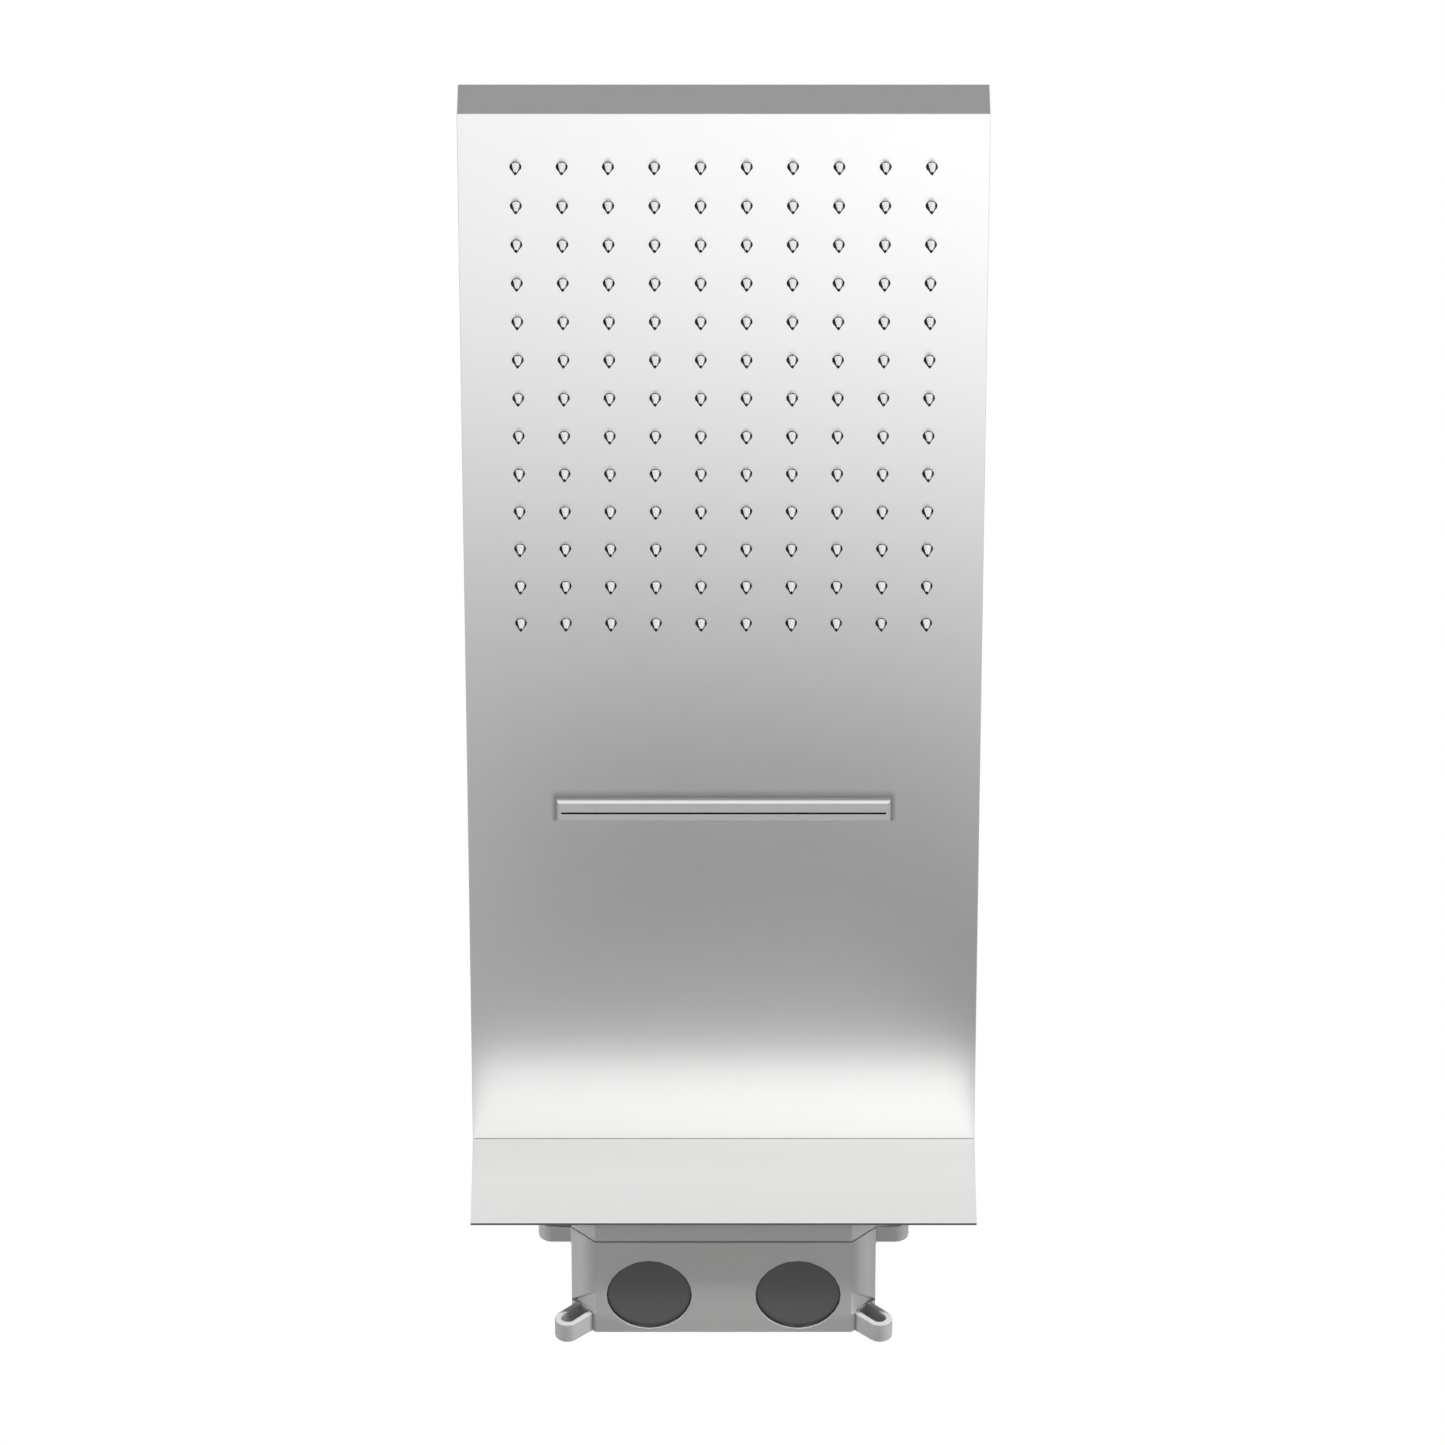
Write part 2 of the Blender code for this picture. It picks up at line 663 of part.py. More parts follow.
def cascade_spout():
    """The outlet bar: a flat blade under the pan, a neck through it and one long slot."""
    half = (SPOUT_LENGTH / 2, SPOUT_WIDTH / 2)
    neck = (SPOUT_NECK_LENGTH / 2, SPOUT_NECK_WIDTH / 2)
    slot = (SPOUT_SLOT_LENGTH / 2, SPOUT_SLOT_WIDTH / 2)
    slot_station = SPOUT_STATION + SPOUT_SLOT_SHIFT
    top = UNDERSIDE - SEAT_GAP
    spout = block(
        "cascade_spout",
        (-half[0], SPOUT_STATION - half[1], UNDERSIDE - SPOUT_DROP),
        (half[0], SPOUT_STATION + half[1], top),
    )
    bevel_underside(spout, SPOUT_BEVEL)
    join(
        spout,
        block(
            "outlet_neck",
            (-neck[0], SPOUT_STATION - neck[1], top - OVERLAP),
            (neck[0], SPOUT_STATION + neck[1], FLOOR + SPOUT_NECK_RISE),
        ),
    )
    cut(
        spout,
        block(
            "outlet_slot",
            (-slot[0], slot_station - slot[1], UNDERSIDE - SPOUT_DROP - THROUGH),
            (slot[0], slot_station + slot[1], FLOOR + SPOUT_NECK_RISE + THROUGH),
        ),
    )
    return part(spout, STEEL)


def pipe(name, route):
    """A bent tube along a smooth curve through the route's points, with both ends square to Y."""
    curve = bpy.data.curves.new(name, "CURVE")
    curve.dimensions = "3D"
    curve.bevel_depth = PIPE_RADIUS
    curve.bevel_resolution = 2
    curve.use_fill_caps = True
    curve.resolution_u = 5
    spline = curve.splines.new("BEZIER")
    spline.bezier_points.add(len(route) - 1)
    before, after = [route[0], *route[:-1]], [*route[1:], route[-1]]
    for point, place, left, right in zip(spline.bezier_points, route, before, after):
        point.co = place
        point.handle_left = Vector(place) + Vector((0, (left[1] - place[1]) / 2, 0))
        point.handle_right = Vector(place) + Vector((0, (right[1] - place[1]) / 2, 0))
    return part(bpy.data.objects.new(name, curve), RAW_STEEL)


def feed_pipes():
    start = HEAD_INNER_BACK - SEAT_GAP - SPIGOT_FLANGE - SPIGOT_TAIL + PIPE_INSERTION
    rain_end = rain_chamber_corners()[1][1] - CHAMBER_WALL
    cascade_low, cascade_high = cascade_chamber_corners()
    cascade_end = cascade_high[1] - CHAMBER_WALL
    pipe(
        "rain_feed_pipe",
        [
            (RAIN_X, start, 0),
            (RAIN_X, start - 2 * PIPE_INSERTION, 0),
            (-RAIN_PIPE_SIDE, cascade_high[1], PIPE_LEVEL),
            (-RAIN_PIPE_SIDE, cascade_low[1], PIPE_LEVEL),
            (-RAIN_PIPE_INLET, rain_end + 2 * PIPE_INSERTION, PIPE_LEVEL),
            (-RAIN_PIPE_INLET, rain_end, PIPE_LEVEL),
        ],
    )
    pipe(
        "cascade_feed_pipe",
        [(CASCADE_X, start, 0), (CASCADE_X, cascade_end, PIPE_LEVEL)],
    )


def spigot(name, x):
    """A brass spigot clamped to the pan's rear wall, with two O-ring grooves on its nose."""
    flange = HEAD_INNER_BACK - SEAT_GAP - SPIGOT_FLANGE  # station of the flange's front face
    groove = O_RING_GROOVE_WIDTH / 2
    outer = [(SPIGOT_RADIUS, SPIGOT_FLANGE + SPIGOT_REACH)]
    for place in reversed(O_RING_PLACES):
        middle = SPIGOT_FLANGE + place
        outer += [
            (SPIGOT_RADIUS, middle + groove),
            (O_RING_GROOVE_RADIUS, middle + groove),
            (O_RING_GROOVE_RADIUS, middle - groove),
            (SPIGOT_RADIUS, middle - groove),
        ]
    outer += [
        (SPIGOT_RADIUS, SPIGOT_FLANGE),
        (SPIGOT_FLANGE_RADIUS, SPIGOT_FLANGE),
        (SPIGOT_FLANGE_RADIUS, 0),
        (SPIGOT_TAIL_RADIUS, 0),
        (SPIGOT_TAIL_RADIUS, -SPIGOT_TAIL),
    ]
    socket_end = -SPIGOT_TAIL + PIPE_INSERTION + SEAT_GAP
    inner = [
        (PIPE_RADIUS + SEAT_GAP, -SPIGOT_TAIL),
        (PIPE_RADIUS + SEAT_GAP, socket_end),
        (SPIGOT_BORE, socket_end),
        (SPIGOT_BORE, SPIGOT_FLANGE + SPIGOT_REACH),
    ]
    part(turned(f"{name}_spigot", outer + inner, (x, flange, 0), ALONG_Y, ROUND_SMALL), BRASS)
    for number, place in enumerate(O_RING_PLACES, 1):
        section = [
            (
                O_RING_RADIUS + O_RING_SECTION * math.sin(math.radians(60 * step)),
                O_RING_SECTION * math.cos(math.radians(60 * step)),
            )
            for step in range(6)
        ]
        station = flange + SPIGOT_FLANGE + place
        part(turned(f"{name}_o_ring_{number}", section, (x, station, 0), ALONG_Y, ROUND_SMALL), DARK_RUBBER)


def tongue_socket():
    """The welded socket inside the head that slides over the bracket's tongue."""
    back = HEAD_INNER_BACK - SEAT_GAP
    top = CEILING - SEAT_GAP
    bore = (TONGUE_WIDTH / 2 + SEAT_GAP, TONGUE_THICKNESS / 2 + SEAT_GAP)
    socket = block("tongue_socket", (-SOCKET_HALF, back - SOCKET_LENGTH, -top), (SOCKET_HALF, back, top))
    threads = [(0, station, 0) for station in GRUB_STATIONS]
    cut(
        socket,
        block(
            "socket_bore",
            (-bore[0], back - SOCKET_LENGTH - THROUGH, -bore[1]),
            (bore[0], back + THROUGH, bore[1]),
        ),
        rods("grub_threads", threads, GRUB_RADIUS + SEAT_GAP, 0, top + THROUGH),
    )
    return part(socket, RAW_STEEL)


def grub_screws():
    bottom, top = TONGUE_THICKNESS / 2 + SEAT_GAP, CEILING - SEAT_GAP
    for number, station in enumerate(GRUB_STATIONS, 1):
        place = [(0, station, 0)]
        screw = rods(f"grub_screw_{number}", place, GRUB_RADIUS, bottom, top)
        key = rods(
            f"grub_key_{number}", place, GRUB_KEY_RADIUS, top - GRUB_KEY_DEPTH, top + THROUGH, segments=6
        )
        part(cut(screw, key), RAW_STEEL)


def wall_plate():
    """The flat cover plate that the head comes out of, pierced for the spigots and the tongue."""
    plate = block(
        "wall_plate",
        (-HEAD_WIDTH / 2, PLATE_FRONT, -PLATE_HEIGHT / 2),
        (HEAD_WIDTH / 2, PLATE_BACK, PLATE_HEIGHT / 2),
    )
    break_edges(plate, EDGE_BREAK)
    tongue = (TONGUE_WIDTH / 2 + PLATE_TONGUE_MARGIN, TONGUE_THICKNESS / 2 + PLATE_TONGUE_MARGIN)
    cut(
        plate,
        supply_rods("plate_spigot_holes", PLATE_SPIGOT_HOLE, PLATE_FRONT - THROUGH, PLATE_BACK + THROUGH),
        block(
            "plate_tongue_hole",
            (-tongue[0], PLATE_FRONT - THROUGH, -tongue[1]),
            (tongue[0], PLATE_BACK + THROUGH, tongue[1]),
        ),
    )
    return part(plate, STEEL)


def plate_seal():
    """The foam ring between the frame's rim and the wall plate."""
    side = BOX_SIDE - 2 * OVERLAP
    front, back = PLATE_BACK + SEAT_GAP, FRAME_FRONT - SEAT_GAP
    seal = slab("plate_seal", chamfered_square(side, BOX_CHAMFER), front, back)
    window = slab(
        "seal_window",
        chamfered_square(side - 2 * SEAL_WIDTH, BOX_CHAMFER - SEAL_WIDTH * (2 - math.sqrt(2))),
        front - THROUGH,
        back + THROUGH,
    )
    return part(cut(seal, window), DARK_RUBBER)


def inner_square(wall):
    """The box's outline moved in by a wall."""
    return chamfered_square(BOX_SIDE - 2 * wall, BOX_CHAMFER + BOX_CORNER - wall * (2 - math.sqrt(2)))


def frame_screw_places():
    return corners(FLANGE_WIDTH - 2 * FRAME_SCREW_INSET, FRAME_SCREW_SPACING)


def screw_holes(name, places, radius, front, back):
    return rods(name, [(x, 0, z) for x, z in places], radius, front, back, ALONG_Y, ROUND_TINY)


def box_frame():
    """The front frame at the tile's level: the box's outline with side flanges and a lip into the box."""
    frame = slab("box_frame", chamfered_square(BOX_SIDE, BOX_CHAMFER), FRAME_FRONT, FRAME_BACK)
    flange = slab(
        "frame_flange",
        rounded_rectangle(FLANGE_WIDTH, FLANGE_HEIGHT, FLANGE_CORNER),
        FRAME_BACK - FLANGE_DEPTH / 2,
        FRAME_BACK,
    )
    lip = slab("frame_lip", inner_square(BOX_WALL + SEAT_GAP), FRAME_BACK - OVERLAP, BODY_FRONT + FRAME_LIP)
    window = slab(
        "frame_window",
        inner_square(BOX_WALL + SEAT_GAP + FRAME_LIP_WALL),
        FRAME_FRONT - THROUGH,
        BODY_FRONT + FRAME_LIP + THROUGH,
    )
    holes = screw_holes(
        "frame_screw_holes",
        frame_screw_places(),
        SCREW_RADIUS + SEAT_GAP,
        FRAME_FRONT - THROUGH,
        FRAME_BACK + THROUGH,
    )
    return part(cut(join(frame, flange, lip), window, holes), BOX_PLASTIC)


def ear_places():
    """Each corner's diagonal as a pair of signs."""
    return corners(2, 2)


def ears(name, radius, inner, outer, front, back):
    """Four bars with a round end along the box's diagonals, measured out from the chamfers."""
    chamfer = (BOX_SIDE - BOX_CHAMFER) / math.sqrt(2)  # box centre to a chamfer's middle
    bars = []
    for number, (sx, sz) in enumerate(ear_places(), 1):
        outward = math.atan2(sz, sx)
        outline = [(chamfer + inner, -radius)]
        for step in range(ROUND_TINY + 1):
            angle = math.radians(-90 + 180 * step / ROUND_TINY)
            outline.append((chamfer + outer + radius * math.cos(angle), radius * math.sin(angle)))
        outline.append((chamfer + inner, radius))
        cosine, sine = math.cos(outward), math.sin(outward)
        placed = [(x * cosine - z * sine, x * sine + z * cosine) for x, z in outline]
        bars.append(slab(f"{name}_{number}", placed, front, back))
    return bars


def reliefs():
    """Wedges that take the chamfer back in front of each ear, for the screwdriver."""
    half, short = BOX_SIDE / 2 + OVERLAP, BOX_SIDE / 2 - BOX_CHAMFER - OVERLAP
    front = -EAR_DEPTH - SEAT_GAP
    wedges = []
    for number, (sx, sz) in enumerate(ear_places(), 1):
        outward = Vector((sx, 0, sz)) / math.sqrt(2)
        high = Vector((sx * short, front - RELIEF_RISE, sz * half))
        flush = Vector((sx * short, front, sz * half))
        deep = Vector((sx * half, front, sz * short)) - outward * RELIEF_DEPTH
        bm = bmesh.new()
        for point in (high, flush, deep):
            bm.verts.new(point)
            bm.verts.new(point + outward * BOX_CHAMFER)
        bmesh.ops.convex_hull(bm, input=bm.verts)
        wedges.append(mesh_object(f"ear_relief_{number}", bm))
    return wedges


def pillar_places():
    return corners(PILLAR_SPACING, PILLAR_RISE)


def box_body():
    """The moulded box: chamfered tub with side flanges, slotted ears, screw pillars and pipe entries."""
    body = slab("box_body", chamfered_square(BOX_SIDE, BOX_CHAMFER), BODY_FRONT, 0)
    flange = slab(
        "body_flange",
        rounded_rectangle(FLANGE_WIDTH, FLANGE_HEIGHT, FLANGE_CORNER),
        BODY_FRONT,
        BODY_FRONT + FLANGE_DEPTH,
    )
    hollow = slab("box_hollow", inner_square(BOX_WALL), BODY_FRONT - THROUGH, -BOX_WALL)
    pillars = rods(
        "pillars",
        [(x, 0, z) for x, z in pillar_places()],
        PILLAR_RADIUS,
        PILLAR_FRONT,
        -BOX_WALL + OVERLAP,
        ALONG_Y,
    )
    join(body, flange, *ears("ear", EAR_RADIUS, -OVERLAP, EAR_REACH, -EAR_DEPTH, 0))
    cut(body, hollow, *reliefs())
    join(body, pillars)
    entries = rods(
        "pipe_entries",
        [(RAIN_X, ENTRY_STATION, 0), (CASCADE_X, ENTRY_STATION, 0)],
        ENTRY_RADIUS,
        -BOX_SIDE / 2 - THROUGH,
        BOX_FLOOR + OVERLAP,
        segments=ROUND_LARGE,
    )
    slots = ears(
        "ear_slot", EAR_SLOT_WIDTH / 2, -EAR_SLOT_BITE, EAR_REACH - OVERLAP, -EAR_DEPTH - THROUGH, THROUGH
    )
    pilot = SCREW_RADIUS + SEAT_GAP
    pillar_bottom = BRACKET_FRONT + BRACKET_SCREW_LENGTH + THROUGH
    flange_bottom = BODY_FRONT + FLANGE_DEPTH + THROUGH
    cut(
        body,
        entries,
        *slots,
        screw_holes("pillar_pilots", pillar_places(), pilot, PILLAR_FRONT - THROUGH, pillar_bottom),
        screw_holes("flange_pilots", frame_screw_places(), pilot, BODY_FRONT - THROUGH, flange_bottom),
    )
    return part(body, BOX_PLASTIC)


def pipe_seal(name, x):
    """A rubber membrane that closes a pipe entry until a supply pipe is pushed through it."""
    outside = -BOX_SIDE / 2 + ENTRY_RECESS
    lip = BOX_FLOOR + SEAT_GAP
    plug = ENTRY_RADIUS - SEAT_GAP
    seal = rods(name, [(x, ENTRY_STATION, 0)], plug, outside, lip + PIPE_SEAL_LIP, segments=ROUND_LARGE)
    rim = rods(
        f"{name}_rim",
        [(x, ENTRY_STATION, 0)],
        PIPE_SEAL_LIP_RADIUS,
        lip,
        lip + PIPE_SEAL_LIP,
        segments=ROUND_LARGE,
    )
    reach = 2 * PIPE_SEAL_LIP_RADIUS
    rear = block(
        f"{name}_rear_clearance",
        (x - reach, -BOX_WALL - SEAT_GAP, BOX_FLOOR),
        (x + reach, reach, BOX_FLOOR + reach),
    )
    return part(cut(join(seal, rim), rear), DARK_RUBBER)


def support_bracket():
    """The steel plate on the box's pillars, with the welded tongue that carries the head."""
    half_x, half_z = PILLAR_SPACING / 2 + BRACKET_MARGIN, PILLAR_RISE / 2 + BRACKET_MARGIN
    bracket = block(
        "support_bracket", (-half_x, BRACKET_FRONT, -half_z), (half_x, BRACKET_BACK, half_z)
    )
    tongue = block(
        "tongue",
        (-TONGUE_WIDTH / 2, TONGUE_TIP, -TONGUE_THICKNESS / 2),
        (TONGUE_WIDTH / 2, BRACKET_FRONT + OVERLAP, TONGUE_THICKNESS / 2),
    )
    elbow_holes = supply_rods(
        "bracket_elbow_holes",
        ELBOW_SOCKET_RADIUS + SEAT_GAP,
        BRACKET_FRONT - THROUGH,
        BRACKET_BACK + THROUGH,
    )
    holes = screw_holes(
        "bracket_screw_holes",
        pillar_places(),
        SCREW_RADIUS + SEAT_GAP,
        BRACKET_FRONT - THROUGH,
        BRACKET_BACK + THROUGH,
    )
    return part(cut(join(bracket, tongue), elbow_holes, holes), RAW_STEEL)


def screws(name, places, seat, length):
    """Button-head screws from the front, each with a hexagon socket."""
    for number, (x, z) in enumerate(places, 1):
        under = seat - SEAT_GAP
        profile = [
            (0, length),
            (SCREW_RADIUS, length),
            (SCREW_RADIUS, 0),
            (SCREW_HEAD_RADIUS, 0),
            (SCREW_HEAD_RADIUS * 0.9, -SCREW_HEAD * 0.6),
            (SCREW_HEAD_RADIUS * 0.6, -SCREW_HEAD),
            (0, -SCREW_HEAD),
        ]
        screw = turned(f"{name}_{number}", profile, (x, under, z), ALONG_Y, ROUND_TINY)
        key = rods(
            f"{name}_key_{number}",
            [(x, under, z)],
            SCREW_KEY_RADIUS,
            -SCREW_HEAD - THROUGH,
            -SCREW_HEAD + SCREW_KEY_DEPTH,
            ALONG_Y,
            segments=6,
        )
        part(cut(screw, key), RAW_STEEL)


def inlet_elbow(name, x):
    """A brass elbow: threaded inlet below, socket for the head's spigot in front, foot on the box's rear."""
    place = (x, ENTRY_STATION, 0)
    elbow = rods(f"{name}_inlet_elbow", [place], ELBOW_RADIUS, ELBOW_BOTTOM, ELBOW_TOP, segments=ROUND_LARGE)
    line = [(x, 0, 0)]
    socket = rods(
        f"{name}_socket", line, ELBOW_SOCKET_RADIUS, ELBOW_FRONT, ENTRY_STATION, ALONG_Y, ROUND_LARGE
    )
    collar_front = BRACKET_BACK + SEAT_GAP
    collar = rods(
        f"{name}_collar",
        line,
        ELBOW_COLLAR_RADIUS,
        collar_front,
        collar_front + ELBOW_COLLAR,
        ALONG_Y,
        ROUND_LARGE,
    )
    foot = rods(f"{name}_foot", line, ELBOW_FOOT_RADIUS, ENTRY_STATION, -BOX_WALL - SEAT_GAP, ALONG_Y)
    bore = rods(
        f"{name}_bore",
        [place],
        ELBOW_BORE,
        ELBOW_BOTTOM - THROUGH,
        ELBOW_TOP - ELBOW_ROOF,
        segments=ROUND_LARGE,
    )
    way = rods(
        f"{name}_way", line, ELBOW_SOCKET_BORE, ELBOW_FRONT - THROUGH, ENTRY_STATION, ALONG_Y, ROUND_LARGE
    )
    return part(cut(join(elbow, socket, collar, foot), bore, way), BRASS)


def check_valve(name, x):
    """The check valve in an elbow's inlet: a cartridge, its poppet and the spring that closes it."""
    place = (x, ENTRY_STATION, 0)
    sleeve = [
        (CARTRIDGE_RADIUS, CARTRIDGE_TOP),
        (CARTRIDGE_RADIUS, CARTRIDGE_BOTTOM),
        (CARTRIDGE_SEAT, CARTRIDGE_BOTTOM),
        (CARTRIDGE_SEAT, CARTRIDGE_BOTTOM + CARTRIDGE_END),
        (CARTRIDGE_BORE, CARTRIDGE_BOTTOM + CARTRIDGE_END),
        (CARTRIDGE_BORE, CARTRIDGE_TOP - CARTRIDGE_END),
        (CARTRIDGE_GUIDE, CARTRIDGE_TOP - CARTRIDGE_END),
        (CARTRIDGE_GUIDE, CARTRIDGE_TOP),
    ]
    part(turned(f"{name}_check_cartridge", sleeve, place, steps=ROUND_SMALL), VALVE_PLASTIC)

    poppet = rods(
        f"{name}_check_poppet", [place], POPPET_RADIUS, POPPET_BOTTOM, POPPET_BOTTOM + POPPET_DISC
    )
    stem = rods(
        f"{name}_stem",
        [place],
        POPPET_STEM,
        POPPET_BOTTOM + POPPET_DISC - OVERLAP,
        POPPET_TOP,
        segments=ROUND_TINY,
    )
    part(join(poppet, stem), VALVE_PLASTIC)

    points = SPRING_TURNS * SPRING_POINTS
    first, last = SPRING_BOTTOM + SPRING_WIRE, SPRING_TOP - SPRING_WIRE
    helix = []
    for step in range(points + 1):
        angle = 2 * math.pi * step / SPRING_POINTS
        rise = first + (last - first) * step / points
        helix.append(Vector((SPRING_RADIUS * math.cos(angle), SPRING_RADIUS * math.sin(angle), rise)))
    curve = bpy.data.curves.new(f"{name}_check_spring", "CURVE")
    curve.dimensions = "3D"
    curve.bevel_depth = SPRING_WIRE
    curve.bevel_resolution = 1
    curve.use_fill_caps = True
    spline = curve.splines.new("POLY")
    spline.points.add(points)
    for point, turn_point in zip(spline.points, helix):
        point.co = (*turn_point, 1)
    spring = bpy.data.objects.new(f"{name}_check_spring", curve)
    spring.location = place
    part(spring, RAW_STEEL)
    apart = SPRING_POINTS // 2
    least = min(
        (b - a).length for i, a in enumerate(helix) for b in helix[i + apart :]
    )
    print(f"{spring.name}: least gap to itself {(least - 2 * SPRING_WIRE) / MM:.2f} mm")


head_shell()
head_cover()
nozzle_mat()
chamber(
    "rain_chamber",
    rain_chamber_corners(),
    RAIN_FLANGE,
    RAIN_CHAMBER_HEIGHT,
    rain_stud_places(),
    -RAIN_PIPE_INLET,
)
chamber(
    "cascade_chamber",
    cascade_chamber_corners(),
    CASCADE_FLANGE,
    CASCADE_CHAMBER_HEIGHT,
    cascade_stud_places(),
    CASCADE_X,
)
chamber_nuts("rain_chamber_nut", rain_stud_places(), RAIN_FLANGE + CHAMBER_WALL + SEAT_GAP)
chamber_nuts("cascade_chamber_nut", cascade_stud_places(), CASCADE_FLANGE + CHAMBER_WALL + SEAT_GAP)
cascade_spout()
feed_pipes()
tongue_socket()
grub_screws()
wall_plate()
plate_seal()
box_frame()
box_body()
support_bracket()
screws("bracket_screw", pillar_places(), BRACKET_FRONT, BRACKET_SCREW_LENGTH)
screws("frame_screw", frame_screw_places(), FRAME_BACK - FLANGE_DEPTH / 2, FRAME_SCREW_LENGTH)
for water, supply_x in (("rain", RAIN_X), ("cascade", CASCADE_X)):
    spigot(water, supply_x)
    inlet_elbow(water, supply_x)
    check_valve(water, supply_x)
    pipe_seal(f"{water}_pipe_seal", supply_x)
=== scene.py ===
"""Looks of a wall-mounted rain and cascade shower head with its in-wall box."""

import math

import bmesh
import bpy
from mathutils import Matrix, Vector


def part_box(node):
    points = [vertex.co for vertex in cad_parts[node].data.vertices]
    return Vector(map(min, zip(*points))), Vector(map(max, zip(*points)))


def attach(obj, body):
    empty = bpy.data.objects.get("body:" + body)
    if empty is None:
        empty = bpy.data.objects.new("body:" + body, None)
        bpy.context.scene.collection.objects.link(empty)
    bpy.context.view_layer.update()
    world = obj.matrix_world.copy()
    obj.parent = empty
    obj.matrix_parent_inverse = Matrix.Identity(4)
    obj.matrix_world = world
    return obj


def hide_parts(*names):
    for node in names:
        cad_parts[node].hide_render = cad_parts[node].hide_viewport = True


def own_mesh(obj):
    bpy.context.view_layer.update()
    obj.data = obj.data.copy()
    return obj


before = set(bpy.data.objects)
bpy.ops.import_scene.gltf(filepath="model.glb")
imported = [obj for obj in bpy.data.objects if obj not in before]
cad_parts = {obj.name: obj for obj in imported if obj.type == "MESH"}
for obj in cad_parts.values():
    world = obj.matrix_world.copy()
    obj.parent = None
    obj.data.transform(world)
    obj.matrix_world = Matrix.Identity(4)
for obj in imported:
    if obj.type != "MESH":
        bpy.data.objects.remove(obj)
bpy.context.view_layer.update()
scene = bpy.context.scene
scene.view_settings.view_transform = "Standard"


# In-wall box: a chamfered body with side flanges and slotted ears, moulded in mid grey plastic.
# Masonry screws through the ears hold it, and its long outer edges, away from the ears' roots, are
# slightly rounded.
MM = 0.001
BOX_GREY = (0.33, 0.33, 0.326, 1)
BOX_EDGE = 0.6 * MM
INNER_HALF = 60 * MM
SHORT_EDGE = 1.2 * MM
EAR_FRONT = -38 * MM
EAR_ROOT = 129 * MM
HARD_ANGLE = math.radians(35)
FLAT_ANGLE = math.radians(0.5)
GRAIN_DEPTH = 0.05 * MM
MERGE = 0.001 * MM
EDGE_MERGE = 0.01 * MM


def build_surface_grain():
    """The node group of the small unevenness that every finish here has, in shade and gloss."""
    group = bpy.data.node_groups.new("surface_grain", "ShaderNodeTree")
    for name, kind in (
        ("Color", "NodeSocketColor"),
        ("Shade", "NodeSocketFloat"),
        ("Roughness", "NodeSocketFloat"),
        ("Spread", "NodeSocketFloat"),
        ("Scale", "NodeSocketFloat"),
    ):
        group.interface.new_socket(name, in_out="INPUT", socket_type=kind)
    for name, kind in (
        ("Color", "NodeSocketColor"),
        ("Roughness", "NodeSocketFloat"),
        ("Height", "NodeSocketFloat"),
    ):
        group.interface.new_socket(name, in_out="OUTPUT", socket_type=kind)
    nodes, links = group.nodes, group.links
    given = nodes.new("NodeGroupInput").outputs
    made = nodes.new("NodeGroupOutput").inputs
    place = nodes.new("ShaderNodeTexCoord")
    grain = nodes.new("ShaderNodeTexNoise")
    grain.inputs["Detail"].default_value = 3
    links.new(place.outputs["Object"], grain.inputs["Vector"])
    links.new(given["Scale"], grain.inputs["Scale"])
    centred = nodes.new("ShaderNodeMath")
    centred.operation = "SUBTRACT"
    centred.inputs[1].default_value = 0.5
    links.new(grain.outputs["Fac"], centred.inputs[0])
    shade = nodes.new("ShaderNodeMath")
    shade.operation = "MULTIPLY_ADD"
    shade.inputs[2].default_value = 1
    links.new(centred.outputs[0], shade.inputs[0])
    links.new(given["Shade"], shade.inputs[1])
    tinted = nodes.new("ShaderNodeVectorMath")
    tinted.operation = "SCALE"
    links.new(given["Color"], tinted.inputs[0])
    links.new(shade.outputs[0], tinted.inputs["Scale"])
    links.new(tinted.outputs[0], made["Color"])
    gloss = nodes.new("ShaderNodeMath")
    gloss.operation = "MULTIPLY_ADD"
    links.new(centred.outputs[0], gloss.inputs[0])
    links.new(given["Spread"], gloss.inputs[1])
    links.new(given["Roughness"], gloss.inputs[2])
    links.new(gloss.outputs[0], made["Roughness"])
    links.new(grain.outputs["Fac"], made["Height"])
    return group


surface_grain = build_surface_grain()


def finish(name, color, roughness, metallic=0.0, shade=0.06, spread=0.1, scale=400.0, bump=0.0):
    """A material with the surface grain at its own values: its change of shade and of roughness."""
    material = bpy.data.materials.new(name)
    material.use_nodes = True
    nodes, links = material.node_tree.nodes, material.node_tree.links
    shader = nodes["Principled BSDF"]
    shader.inputs["Metallic"].default_value = metallic
    grain = nodes.new("ShaderNodeGroup")
    grain.node_tree = surface_grain
    grain.inputs["Color"].default_value = color
    grain.inputs["Shade"].default_value = shade
    grain.inputs["Roughness"].default_value = roughness
    grain.inputs["Spread"].default_value = spread
    grain.inputs["Scale"].default_value = scale
    links.new(grain.outputs["Color"], shader.inputs["Base Color"])
    links.new(grain.outputs["Roughness"], shader.inputs["Roughness"])
    if bump:
        relief = nodes.new("ShaderNodeBump")
        relief.inputs["Strength"].default_value = bump
        relief.inputs["Distance"].default_value = GRAIN_DEPTH
        links.new(grain.outputs["Height"], relief.inputs["Height"])
        links.new(relief.outputs["Normal"], shader.inputs["Normal"])
    return material


def copy_of(node):
    """A CAD node's mesh with its loose triangles merged."""
    bm = bmesh.new()
    bm.from_mesh(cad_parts[node].data)
    bmesh.ops.remove_doubles(bm, verts=bm.verts, dist=MERGE)
    return bm


